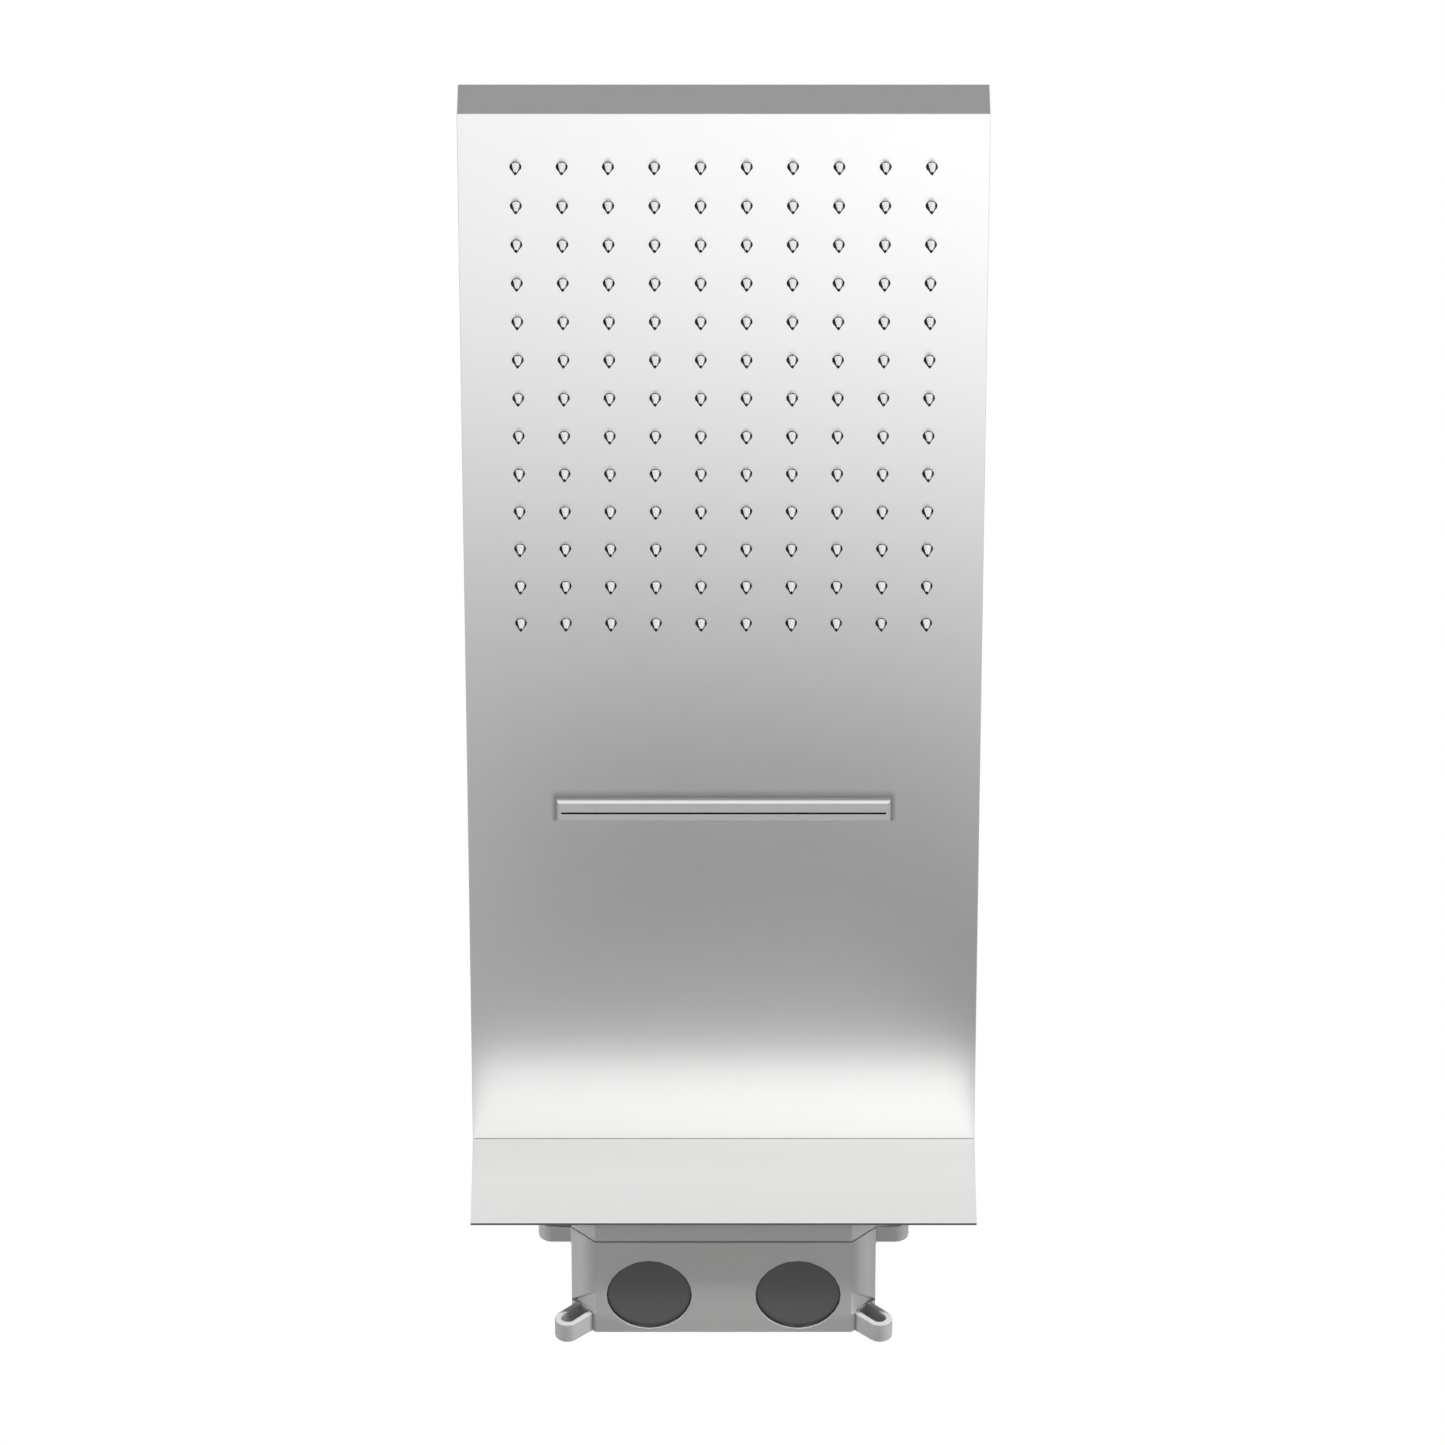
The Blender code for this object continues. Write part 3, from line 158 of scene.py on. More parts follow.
def softened(bm, width, is_hard):
    """The mesh with the edges that is_hard picks rounded over."""
    bmesh.ops.dissolve_limit(bm, angle_limit=FLAT_ANGLE, verts=bm.verts, edges=bm.edges)
    hard = [edge for edge in bm.edges if edge.is_manifold and is_hard(edge)]
    bmesh.ops.bevel(
        bm,
        geom=hard,
        offset=width,
        affect="EDGES",
        segments=2,
        profile=0.5,
        material=-1,
        clamp_overlap=False,
    )
    bmesh.ops.remove_doubles(bm, verts=bm.verts, dist=EDGE_MERGE)
    bmesh.ops.dissolve_degenerate(bm, dist=EDGE_MERGE, edges=bm.edges)
    return bm


def add_piece(name, bm, materials, replaces=(), body="fixture", sharp=30, flats=False):
    """Links a finished mesh as a piece that rides on a body and stands for CAD nodes."""
    mesh = bpy.data.meshes.new(name)
    bm.to_mesh(mesh)
    bm.free()
    carried = mesh.attributes.get("custom_normal")
    if carried:
        mesh.attributes.remove(carried)
    mesh.shade_smooth()
    mesh.set_sharp_from_angle(angle=math.radians(sharp))
    for material in materials:
        mesh.materials.append(material)
    piece = bpy.data.objects.new(name, mesh)
    scene.collection.objects.link(piece)
    if flats:
        piece.modifiers.new("flats", "WEIGHTED_NORMAL").keep_sharp = True
    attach(piece, body)
    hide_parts(*replaces)
    return piece


box_plastic = finish(
    "grey_box_plastic", BOX_GREY, roughness=0.55, shade=0.05, spread=0.12, scale=900, bump=0.15
)


def is_rim(edge):
    """Whether an edge is a long hard one outside on a moulding, away from the ears' roots."""
    middle = (edge.verts[0].co + edge.verts[1].co) / 2
    outside = max(abs(middle.x), abs(middle.z)) > INNER_HALF
    at_root = middle.y > EAR_FRONT and abs(middle.x) + abs(middle.z) < EAR_ROOT
    is_hard = edge.calc_length() > SHORT_EDGE and edge.calc_face_angle() > HARD_ANGLE
    return outside and is_hard and not at_root


add_piece(
    "wall_box",
    softened(copy_of("box_body"), BOX_EDGE, is_rim),
    [box_plastic],
    ["box_body"],
    sharp=50,
    flats=True,
)


# Pipe entries: two dark rubber membranes pressed into the box's floor, which a supply pipe pierces.
# Each is a flat plug with a shallow bead round its face, and a lip inside the box that keeps it in.
ENTRY_RADIUS = 19.5 * MM
ENTRY_GAP = 0.3 * MM
MEMBRANE_DARK = (0.058, 0.058, 0.057, 1)
MEMBRANE_STEPS = 64
SKIN_DEPTH = 0.1 * MM
BEAD_DEPTH = 0.02 * MM
BEAD_WIDTH = 1.8 * MM
BEAD_SLOPE = 0.4 * MM
RIM_WIDTH, RIM_DEPTH = 0.4 * MM, 0.3 * MM
LIP_THICKNESS = 1.5 * MM
LIP_EDGE = 0.3 * MM


def turned(profile, steps, place):
    """A profile of radius and height spun about Z and moved to its place."""
    bm = bmesh.new()
    points = [bm.verts.new((radius, 0, height)) for radius, height in profile]
    lines = [bm.edges.new(pair) for pair in zip(points, points[1:])]
    bmesh.ops.spin(
        bm,
        geom=points + lines,
        cent=(0, 0, 0),
        axis=(0, 0, 1),
        angle=math.tau,
        steps=steps,
        use_merge=True,
    )
    bmesh.ops.remove_doubles(bm, verts=bm.verts, dist=MERGE)
    bmesh.ops.recalc_face_normals(bm, faces=bm.faces)
    bmesh.ops.translate(bm, verts=bm.verts, vec=place)
    return bm


membrane_rubber = finish(
    "dark_rubber", MEMBRANE_DARK, roughness=0.6, shade=0.1, spread=0.1, scale=500, bump=0.2
)
for water in ("rain", "cascade"):
    low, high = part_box(f"{water}_pipe_seal")
    middle = ((low[0] + high[0]) / 2, (low[1] + high[1]) / 2, 0)
    lip = (high[0] - low[0]) / 2
    skin = low[2]
    rim = ENTRY_RADIUS - ENTRY_GAP
    membrane = turned(
        [
            (0, skin + SKIN_DEPTH),
            (rim - BEAD_WIDTH - BEAD_SLOPE, skin + SKIN_DEPTH),
            (rim - BEAD_WIDTH, skin + BEAD_DEPTH),
            (rim - RIM_WIDTH, skin + BEAD_DEPTH),
            (rim, skin + RIM_DEPTH),
            (rim, high[2] - LIP_THICKNESS),
            (lip, high[2] - LIP_THICKNESS),
            (lip, high[2] - LIP_EDGE),
            (lip - LIP_EDGE, high[2]),
            (0, high[2]),
        ],
        MEMBRANE_STEPS,
        middle,
    )
    add_piece(
        f"{water}_membrane",
        membrane,
        [membrane_rubber],
        [f"{water}_pipe_seal"],
        sharp=40,
    )


# Supply elbows: two machined brass elbows behind the bracket, whose lower ends take the supply
# pipes. Each holds a check valve: a cartridge and a poppet in blue-grey acetal.
BRASS_YELLOW = (0.70, 0.52, 0.26, 1)
ACETAL_BLUE = (0.30, 0.42, 0.55, 1)


def dress(material, *nodes):
    """Puts a finish on CAD nodes that stay as they are."""
    for node in nodes:
        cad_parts[node].data.materials.clear()
        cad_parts[node].data.materials.append(material)


brass = finish(
    "brass", BRASS_YELLOW, roughness=0.3, metallic=1.0, shade=0.12, spread=0.15, scale=250
)
acetal = finish("valve_plastic", ACETAL_BLUE, roughness=0.4, shade=0.06, spread=0.1, scale=600)
dress(brass, "rain_inlet_elbow", "cascade_inlet_elbow")
dress(acetal, "rain_check_cartridge", "cascade_check_cartridge")
dress(acetal, "rain_check_poppet", "cascade_check_poppet")


# Valve springs: round steel wire wound in five open turns with a closed turn at each end.
# Each stands on its poppet under the cartridge's roof.
ZINC_GREY = (0.52, 0.52, 0.53, 1)
WIRE_RADIUS = 0.5 * MM
WIRE_SIDES = 8
COIL_STEPS = 28
OPEN_TURNS = 5
CLOSED_RISE = 2.05 * WIRE_RADIUS
END_REACH = 1.02 * WIRE_RADIUS

zinc = finish(
    "zinc_plated_steel", ZINC_GREY, roughness=0.38, metallic=1.0, shade=0.15, spread=0.2, scale=180
)


def face_is_end(face, low, high):
    """Whether a wire section closes one end of the coil."""
    height = face.calc_center_median().z
    return height < low + END_REACH or height > high - END_REACH


def coil(radius, low, high):
    """A wire section swept up a helix, its end turns flat, and both ends closed."""
    bm = bmesh.new()
    bmesh.ops.create_circle(bm, segments=WIRE_SIDES, radius=WIRE_RADIUS, cap_ends=True)
    upright = Matrix.Rotation(math.radians(90), 3, "X")
    bmesh.ops.rotate(bm, verts=bm.verts, cent=(0, 0, 0), matrix=upright)
    bmesh.ops.translate(bm, verts=bm.verts, vec=(radius, 0, low + WIRE_RADIUS))
    section = bm.verts[:] + bm.edges[:] + bm.faces[:]
    open_rise = (high - low - 2 * WIRE_RADIUS - 2 * CLOSED_RISE) / OPEN_TURNS
    for turns, rise in ((1, CLOSED_RISE), (OPEN_TURNS, open_rise), (1, CLOSED_RISE)):
        section = bmesh.ops.spin(
            bm,
            geom=section,
            cent=(0, 0, 0),
            axis=(0, 0, 1),
            dvec=(0, 0, rise / COIL_STEPS),
            angle=turns * math.tau,
            steps=turns * COIL_STEPS,
        )["geom_last"]
    bmesh.ops.remove_doubles(bm, verts=bm.verts, dist=MERGE)
    inner = [face for face in bm.faces if any(not edge.is_manifold for edge in face.edges)]
    sections = [face for face in inner if len(face.verts) == WIRE_SIDES]
    spare = [face for face in sections if not face_is_end(face, low, high)]
    bmesh.ops.delete(bm, geom=spare, context="FACES_ONLY")
    bmesh.ops.recalc_face_normals(bm, faces=bm.faces)
    return bm


for water in ("rain", "cascade"):
    low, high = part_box(f"{water}_check_spring")
    middle = Vector(((low[0] + high[0]) / 2, (low[1] + high[1]) / 2, 0))
    spring = coil((high[1] - low[1]) / 2 - WIRE_RADIUS, low[2], high[2])
    bmesh.ops.translate(spring, verts=spring.verts, vec=middle)
    piece = add_piece(
        f"{water}_spring", spring, [zinc], [f"{water}_check_spring"]
    )
    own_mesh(piece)


# Bracket: a bent steel plate screwed to the box's pillars, with the tongue that carries the head.
# Zinc-plated, as are its four screws.
dress(zinc, "support_bracket", *(f"bracket_screw_{number}" for number in range(1, 5)))


# Front frame: the box's second moulding, at tile level, with two side flanges.
# Four zinc-plated screws through the flanges draw it to the body, and a shadow line stays between.
add_piece(
    "front_frame",
    softened(copy_of("box_frame"), BOX_EDGE, is_rim),
    [box_plastic],
    ["box_frame"],
    sharp=50,
    flats=True,
)
dress(zinc, *(f"frame_screw_{number}" for number in range(1, 5)))


# Wall plate: a sheet of satin stainless steel that covers the box, with a rubber seal behind it.
# Held between the frame and the head, it has a painted shade near its joint with the head, seen by
# the camera only.
STEEL_WHITE = (0.93, 0.93, 0.925, 1)
EDGE_SHADE_GREY = (0.22, 0.22, 0.215, 1)
JOINT_SHADE = 34 * MM
JOINT_DEPTH = 0.875
EDGE_FACING = 0.3
PAN_LOW, PAN_HIGH = (Vector(corner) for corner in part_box("head_shell"))


def place_on(tree, axis, folded=False):
    """The place on the object along one axis, or its distance from the middle."""
    split = tree.nodes.new("ShaderNodeSeparateXYZ")
    tree.links.new(tree.nodes.new("ShaderNodeTexCoord").outputs["Object"], split.inputs[0])
    if not folded:
        return split.outputs[axis]
    distance = tree.nodes.new("ShaderNodeMath")
    distance.operation = "ABSOLUTE"
    tree.links.new(split.outputs[axis], distance.inputs[0])
    return distance.outputs[0]


def faded(tree, value, start, end):
    """A value turned into a soft step from 0 at start to 1 at end."""
    step = tree.nodes.new("ShaderNodeMapRange")
    step.interpolation_type = "SMOOTHSTEP"
    step.inputs["From Min"].default_value = min(start, end)
    step.inputs["From Max"].default_value = max(start, end)
    step.inputs["To Min"].default_value = 0 if start < end else 1
    step.inputs["To Max"].default_value = 1 if start < end else 0
    tree.links.new(value, step.inputs["Value"])
    return step.outputs["Result"]


def product(tree, first, *others):
    """Values multiplied."""
    for other in others:
        times = tree.nodes.new("ShaderNodeMath")
        times.operation = "MULTIPLY"
        tree.links.new(first, times.inputs[0])
        tree.links.new(other, times.inputs[1])
        first = times.outputs[0]
    return first


def darken(tree, near, depth):
    """Scales a material's colour down to depth where near is 1, as a painted shade."""
    contact = tree.nodes.new("ShaderNodeMapRange")
    contact.inputs["To Min"].default_value = 1
    contact.inputs["To Max"].default_value = depth
    tree.links.new(near, contact.inputs["Value"])
    shaded = tree.nodes.new("ShaderNodeVectorMath")
    shaded.operation = "SCALE"
    tree.links.new(tree.nodes["Group"].outputs["Color"], shaded.inputs[0])
    tree.links.new(contact.outputs["Result"], shaded.inputs["Scale"])
    tree.links.new(shaded.outputs[0], tree.nodes["Principled BSDF"].inputs["Base Color"])


def satin(name):
    """The satin finish that all the steel sheets have."""
    return finish(
        name, STEEL_WHITE, roughness=0.32, metallic=1.0, shade=0.01, spread=0.03, scale=120
    )


plate_steel = satin("satin_steel_plate")
tree = plate_steel.node_tree
# Painted shade: darker towards the joint with the head, and only for rays from the camera.
joint = faded(tree, place_on(tree, "Z", folded=True), PAN_HIGH.z + JOINT_SHADE, PAN_HIGH.z)
seen_directly = tree.nodes.new("ShaderNodeLightPath").outputs["Is Camera Ray"]
darken(tree, product(tree, joint, seen_directly), JOINT_DEPTH)
# The sheet's edge faces get a dark grey metal: a painted shade along its edges.
painted_edge_shade = finish(
    "painted_edge_shade", EDGE_SHADE_GREY, roughness=0.55, metallic=1.0, shade=0.15, spread=0.1, scale=300
)
plate = copy_of("wall_plate")
for face in plate.faces:
    if abs(face.normal.y) < EDGE_FACING:
        face.material_index = 1
add_piece("cover_plate", plate, [plate_steel, painted_edge_shade], ["wall_plate"])
dress(membrane_rubber, "plate_seal")


# Head pan: one sheet of satin stainless steel folded into a shallow tray, with sharp folds.
# Its floor has a round hole for each nozzle, slightly countersunk, and the outlet's opening, with a
# contact shade painted into its colour round the outlet. Its rear wall stands against the wall
# plate.
HOLE_RADIUS = 2.52 * MM
COUNTERSINK = 0.1 * MM
SEATED = 0.2 * MM
EDGE_BREAK = 0.25 * MM
HOLE_STEPS = 24
HOLE_DEPTH = 1.7 * MM
COLUMNS, ROWS = 10, 13
PITCH = 20 * MM
FIELD_SIDE = 90 * MM
FRONT_MARGIN = 27 * MM
FIRST_ROW = PAN_LOW.y + FRONT_MARGIN
UNDERSIDE = PAN_LOW.z
OUTLET_LOW, OUTLET_HIGH = (Vector(corner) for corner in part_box("cascade_spout"))
FRONT_SHADE = 6 * MM
REAR_SHADE = 1.2 * MM
SIDE_SHADE = 3 * MM
SHADE_DEPTH = 0.5
CUT_MERGE = 0.005 * MM


def nozzle_field(bm):
    """The mesh, made for the first nozzle's place, repeated at every place of the field."""
    first = bm.verts[:] + bm.edges[:] + bm.faces[:]
    for row in range(ROWS):
        for column in range(COLUMNS):
            if row or column:
                again = bmesh.ops.duplicate(bm, geom=first)["geom"]
                bmesh.ops.translate(
                    bm,
                    verts=[item for item in again if isinstance(item, bmesh.types.BMVert)],
                    vec=(column * PITCH, row * PITCH, 0),
                )
    return bm


def less(bm, cutter):
    """The mesh less the cutter, by an exact Boolean."""
    pair = []
    for name, part in (("kept", bm), ("cutter", cutter)):
        mesh = bpy.data.meshes.new(name)
        part.to_mesh(mesh)
        part.free()
        obj = bpy.data.objects.new(name, mesh)
        scene.collection.objects.link(obj)
        pair.append(obj)
    boolean = pair[0].modifiers.new("cut", "BOOLEAN")
    boolean.object = pair[1]
    boolean.solver = "EXACT"
    bpy.context.view_layer.update()
    result = bmesh.new()
    result.from_object(pair[0], bpy.context.evaluated_depsgraph_get())
    for obj in pair:
        bpy.data.objects.remove(obj)
    bmesh.ops.remove_doubles(result, verts=result.verts, dist=CUT_MERGE)
    bmesh.ops.dissolve_degenerate(result, dist=CUT_MERGE, edges=result.edges)
    return result


hole = turned(
    [
        (0, UNDERSIDE - 2 * COUNTERSINK),
        (HOLE_RADIUS + 3 * COUNTERSINK, UNDERSIDE - 2 * COUNTERSINK),
        (HOLE_RADIUS, UNDERSIDE + COUNTERSINK),
        (HOLE_RADIUS, UNDERSIDE + HOLE_DEPTH),
        (0, UNDERSIDE + HOLE_DEPTH),
    ],
    HOLE_STEPS,
    (-FIELD_SIDE, FIRST_ROW, 0),
)
pan_steel = satin("satin_steel_pan")
tree = pan_steel.node_tree
# A painted contact shade: the colour is darker round the outlet, most in front of it.
near_outlet = product(
    tree,
    faded(tree, place_on(tree, "Y"), OUTLET_LOW.y - FRONT_SHADE, OUTLET_LOW.y),
    faded(tree, place_on(tree, "Y"), OUTLET_HIGH.y + REAR_SHADE, OUTLET_HIGH.y),
    faded(tree, place_on(tree, "X", folded=True), OUTLET_HIGH.x + SIDE_SHADE, OUTLET_HIGH.x),
)
darken(tree, near_outlet, SHADE_DEPTH)
pan = less(copy_of("head_shell"), nozzle_field(hole))
for vert in pan.verts:
    if vert.co.y > PAN_HIGH.y - EDGE_BREAK:
        vert.co.y += SEATED
add_piece("head_pan", pan, [pan_steel], ["head_shell"])


# Nozzles: a sheet of light grey silicone on the pan's floor, with a soft cone through every hole.
# Each cone ends in a small open bore. Painted shade in dark silicone covers its tip, its left
# flank, its part inside the hole and the sheet, and a painted shade dims the silicone towards its
# outline.
SILICONE_GREY = (0.31, 0.31, 0.305, 1)
PAINTED_SHADE_DARK = (0.009, 0.009, 0.009, 1)
NOZZLE_STEPS = 16
NOZZLE_BASE = 2.25 * MM
NOZZLE_TIP = 0.5 * MM
BORE = 0.3 * MM
NOZZLE_WAIST = 1.62 * MM
WAIST_DROP = 2.6 * MM
TIP_HEIGHT = 0.8 * MM
TIP_TAPER = 0.25 * MM
TIP_SHARE = 0.6
GAP_START = 0.4 * MM
BORE_DEPTH = 2.5 * MM
# The left flank of each cone between these angles gets the painted shade.
FLANK_START, FLANK_END = 158, 222  # degrees round the cone
OUTLINE_START, OUTLINE_END = 0.45, 0.64
OUTLINE_DEPTH = 0.03
DULL = 0.1
MAT_SHEET = 2 * MM
MAT_LOW, MAT_HIGH = (Vector(corner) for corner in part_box("nozzle_mat"))

silicone = finish("grey_silicone", SILICONE_GREY, roughness=0.45, shade=0.06, spread=0.1, scale=700)
# A near-black silicone that stands for shade: painted shade.
shaded_silicone = finish("silicone_painted_shade", PAINTED_SHADE_DARK, roughness=0.7, shade=0.1, spread=0.1, scale=700)
for material in (silicone, shaded_silicone):
    shader = material.node_tree.nodes["Principled BSDF"]
    shader.inputs["Specular IOR Level"].default_value = DULL
tree = silicone.node_tree
# Painted shade: the silicone is darker where its surface turns away from the view, at its outline.
turned_away = tree.nodes.new("ShaderNodeLayerWeight").outputs["Facing"]
darken(tree, faded(tree, turned_away, OUTLINE_START, OUTLINE_END), OUTLINE_DEPTH)
mat_floor = MAT_HIGH.z - MAT_SHEET
tip = MAT_LOW.z
first_place = Vector((-FIELD_SIDE, FIRST_ROW, 0))
nozzle = turned(
    [
        (0, mat_floor + MAT_SHEET / 2),
        (NOZZLE_BASE, mat_floor + MAT_SHEET / 2),
        (NOZZLE_BASE, UNDERSIDE),
        (NOZZLE_WAIST, UNDERSIDE - WAIST_DROP),
        (NOZZLE_TIP + TIP_TAPER, tip + TIP_HEIGHT),
        (NOZZLE_TIP, tip),
        (BORE, tip),
        (BORE, tip + BORE_DEPTH),
        (0, tip + BORE_DEPTH),
    ],
    NOZZLE_STEPS,
    first_place,
)
# Faces on the tip, the left flank and inside the hole take the dark silicone as painted shade.
for face in nozzle.faces:
    middle = face.calc_center_median() - first_place
    around = math.degrees(math.atan2(middle.y, middle.x)) % 360
    on_tip = middle.z < tip + TIP_SHARE * TIP_HEIGHT
    in_gap = middle.z > UNDERSIDE + GAP_START
    if FLANK_START < around < FLANK_END or on_tip or in_gap:
        face.material_index = 1
nozzles = nozzle_field(nozzle)
sheet = bmesh.ops.create_cube(nozzles, size=1)["verts"]
size = (MAT_HIGH.x - MAT_LOW.x, MAT_HIGH.y - MAT_LOW.y, MAT_SHEET)
bmesh.ops.scale(nozzles, verts=sheet, vec=size)
bmesh.ops.translate(nozzles, verts=sheet, vec=((MAT_LOW + MAT_HIGH) / 2).xy.to_3d())
bmesh.ops.translate(nozzles, verts=sheet, vec=(0, 0, mat_floor + MAT_SHEET / 2))
# The sheet inside the pan takes the dark silicone too: painted shade seen through the holes.
for face in {face for vert in sheet for face in vert.link_faces}:
    face.material_index = 1
add_piece("nozzles", nozzles, [silicone, shaded_silicone], ["nozzle_mat"], sharp=40)


# Cascade outlet: a flat bar of the same steel under the pan, bevelled all round, with a long slot.
# Its neck passes through the pan's floor into the cascade chamber, and the slot's walls are painted
# dark as shade. The bevels are polished.
OUTLET_GREY = (0.84, 0.845, 0.865, 1)
EDGE_WHITE = (0.86, 0.86, 0.865, 1)
OUTLET_MIDDLE = (OUTLET_LOW + OUTLET_HIGH) / 2
SLOT_HALF = 1.5 * MM
SLOT_END = 1.5 * MM
UPRIGHT = 0.5
BEVEL_LOW, BEVEL_HIGH = -0.95, -0.2  # how far a bevel faces up
NECK_GAP = 0.35 * MM

outlet_steel = finish(
    "outlet_steel", OUTLET_GREY, roughness=0.48, metallic=1.0, shade=0.02, spread=0.04, scale=200
)
slot_painted_shade = finish("slot_painted_shade", PAINTED_SHADE_DARK, roughness=0.7, shade=0.1, spread=0.1, scale=700)
bright_edge = finish(
    "bright_edge", EDGE_WHITE, roughness=0.28, metallic=1.0, shade=0.02, spread=0.04, scale=200
)
outlet = copy_of("cascade_spout")
for face in outlet.faces:
    off = face.calc_center_median() - OUTLET_MIDDLE
    in_slot = abs(off.y) < SLOT_HALF and abs(off.x) < OUTLET_HIGH.x - SLOT_END
    # The slot's walls take the near-black material: painted shade.
    if in_slot and abs(face.normal.z) < UPRIGHT:
        face.material_index = 1
    elif BEVEL_LOW < face.normal.z < BEVEL_HIGH:
        face.material_index = 2
for vert in outlet.verts:
    if UNDERSIDE - NECK_GAP < vert.co.z < UNDERSIDE:
        vert.co.z = UNDERSIDE
add_piece(
    "outlet_bar",
    outlet,
    [outlet_steel, slot_painted_shade, bright_edge],
    ["cascade_spout"],
)


# Water ways in the head: moulded chambers on weld studs with nuts, zinc-plated pipes and socket,
# brass spigots with rubber O-rings. None of them is seen with the cover on.
CHAMBER_WHITE = (0.78, 0.78, 0.76, 1)

chamber_plastic = finish(
    "white_chamber_plastic", CHAMBER_WHITE, roughness=0.5, shade=0.05, spread=0.1, scale=700
)
dress(chamber_plastic, "rain_chamber", "cascade_chamber")
dress(zinc, *(f"rain_chamber_nut_{number}" for number in range(1, 5)))
dress(zinc, "cascade_chamber_nut_1", "cascade_chamber_nut_2")
dress(zinc, "rain_feed_pipe", "cascade_feed_pipe")
dress(zinc, "tongue_socket", "grub_screw_1", "grub_screw_2")
dress(brass, "rain_spigot", "cascade_spigot")
dress(membrane_rubber, "rain_o_ring_1", "rain_o_ring_2", "cascade_o_ring_1", "cascade_o_ring_2")


# Head cover: the top sheet, in the same satin steel, with two holes to reach the grub screws.
# Its lip is folded down inside the pan's walls, and holds it there.
dress(satin("satin_steel"), "head_cover")


# Camera: below and in front of the head, looking up at its underside through a long lens, so the
# head's sides run nearly parallel.
SENSOR, LENS = 36, 284.0
VIEWPOINT = (-0.0005, -3.2455, -4.1701)
LOOK_UP = math.radians(54.70)

camera = bpy.data.objects.new("camera", bpy.data.cameras.new("camera"))
camera.data.sensor_width = SENSOR
camera.data.lens = LENS
camera.location = VIEWPOINT
camera.rotation_euler = (math.radians(90) + LOOK_UP, 0, 0)
scene.collection.objects.link(camera)
scene.camera = camera


# Studio: white to the camera and to reflections, with soft light from all round. The steel takes
# its tones from cards and grey walls that only reflections see, and lamps light the plastics.
AMBIENT = (0.145, 0.145, 0.145, 1)
ONE_BOUNCE = 1.5

world = bpy.data.worlds.new("studio")
world.use_nodes = True
scene.world = world
nodes, links = world.node_tree.nodes, world.node_tree.links
nodes.clear()
path = nodes.new("ShaderNodeLightPath")
seen = nodes.new("ShaderNodeMath")
seen.operation = "MAXIMUM"
links.new(path.outputs["Is Camera Ray"], seen.inputs[0])
links.new(path.outputs["Is Glossy Ray"], seen.inputs[1])
through = nodes.new("ShaderNodeMath")
through.operation = "MAXIMUM"
links.new(seen.outputs[0], through.inputs[0])
links.new(path.outputs["Is Transmission Ray"], through.inputs[1])
white = nodes.new("ShaderNodeBackground")
white.inputs["Color"].default_value = (1, 1, 1, 1)
ambient = nodes.new("ShaderNodeBackground")
ambient.inputs["Color"].default_value = AMBIENT
mix = nodes.new("ShaderNodeMixShader")
links.new(through.outputs[0], mix.inputs["Fac"])
links.new(ambient.outputs[0], mix.inputs[1])
links.new(white.outputs[0], mix.inputs[2])
output = nodes.new("ShaderNodeOutputWorld")
links.new(mix.outputs[0], output.inputs["Surface"])


def card(name, corners, strength, *layers, in_corner=False):
    """A studio card that only reflections see, with layers of brightness along its own UV.

    A layer is an axis, a blend and stops of place and brightness. A card in_corner shows from its
    front only, and only after two reflections.
    """
    mesh = bpy.data.meshes.new(name)
    mesh.from_pydata(corners, [], [(0, 1, 2, 3)])
    uv = mesh.uv_layers.new(name="card")
    for loop, place in zip(uv.data, ((0, 0), (1, 0), (1, 1), (0, 1))):
        loop.uv = place
    material = bpy.data.materials.new(name)
    material.use_nodes = True
    nodes, links = material.node_tree.nodes, material.node_tree.links
    nodes.clear()
    split = nodes.new("ShaderNodeSeparateXYZ")
    links.new(nodes.new("ShaderNodeUVMap").outputs["UV"], split.inputs[0])
    shade = None
    for axis, blend, stops in layers:
        ramp = nodes.new("ShaderNodeValToRGB")
        while len(ramp.color_ramp.elements) < len(stops):
            ramp.color_ramp.elements.new(0.5)
        for element, (position, value) in zip(ramp.color_ramp.elements, stops):
            element.position = position
            element.color = (value, value, value, 1)
        links.new(split.outputs[axis], ramp.inputs["Fac"])
        if shade is None:
            shade = ramp.outputs["Color"]
            continue
        mix = nodes.new("ShaderNodeMix")
        mix.data_type = "RGBA"
        mix.blend_type = blend
        mix.inputs["Factor"].default_value = 1
        links.new(shade, mix.inputs["A"])
        links.new(ramp.outputs["Color"], mix.inputs["B"])
        shade = mix.outputs["Result"]
    emission = nodes.new("ShaderNodeEmission")
    emission.inputs["Strength"].default_value = strength
    links.new(shade, emission.inputs["Color"])
    out = nodes.new("ShaderNodeOutputMaterial")
    links.new(emission.outputs[0], out.inputs["Surface"])
    if in_corner:
        once = nodes.new("ShaderNodeMath")
        once.operation = "LESS_THAN"
        once.inputs[1].default_value = ONE_BOUNCE
        links.new(nodes.new("ShaderNodeLightPath").outputs["Glossy Depth"], once.inputs[0])
        hidden = nodes.new("ShaderNodeMath")
        hidden.operation = "MAXIMUM"
        links.new(once.outputs[0], hidden.inputs[0])
        links.new(nodes.new("ShaderNodeNewGeometry").outputs["Backfacing"], hidden.inputs[1])
        clear = nodes.new("ShaderNodeMixShader")
        links.new(hidden.outputs[0], clear.inputs["Fac"])
        links.new(emission.outputs[0], clear.inputs[1])
        links.new(nodes.new("ShaderNodeBsdfTransparent").outputs[0], clear.inputs[2])
        links.new(clear.outputs[0], out.inputs["Surface"])
        material.cycles.emission_sampling = "NONE"
    mesh.materials.append(material)
    obj = bpy.data.objects.new(name, mesh)
    obj.visible_camera = False
    obj.visible_diffuse = False
    obj.visible_shadow = False
    scene.collection.objects.link(obj)


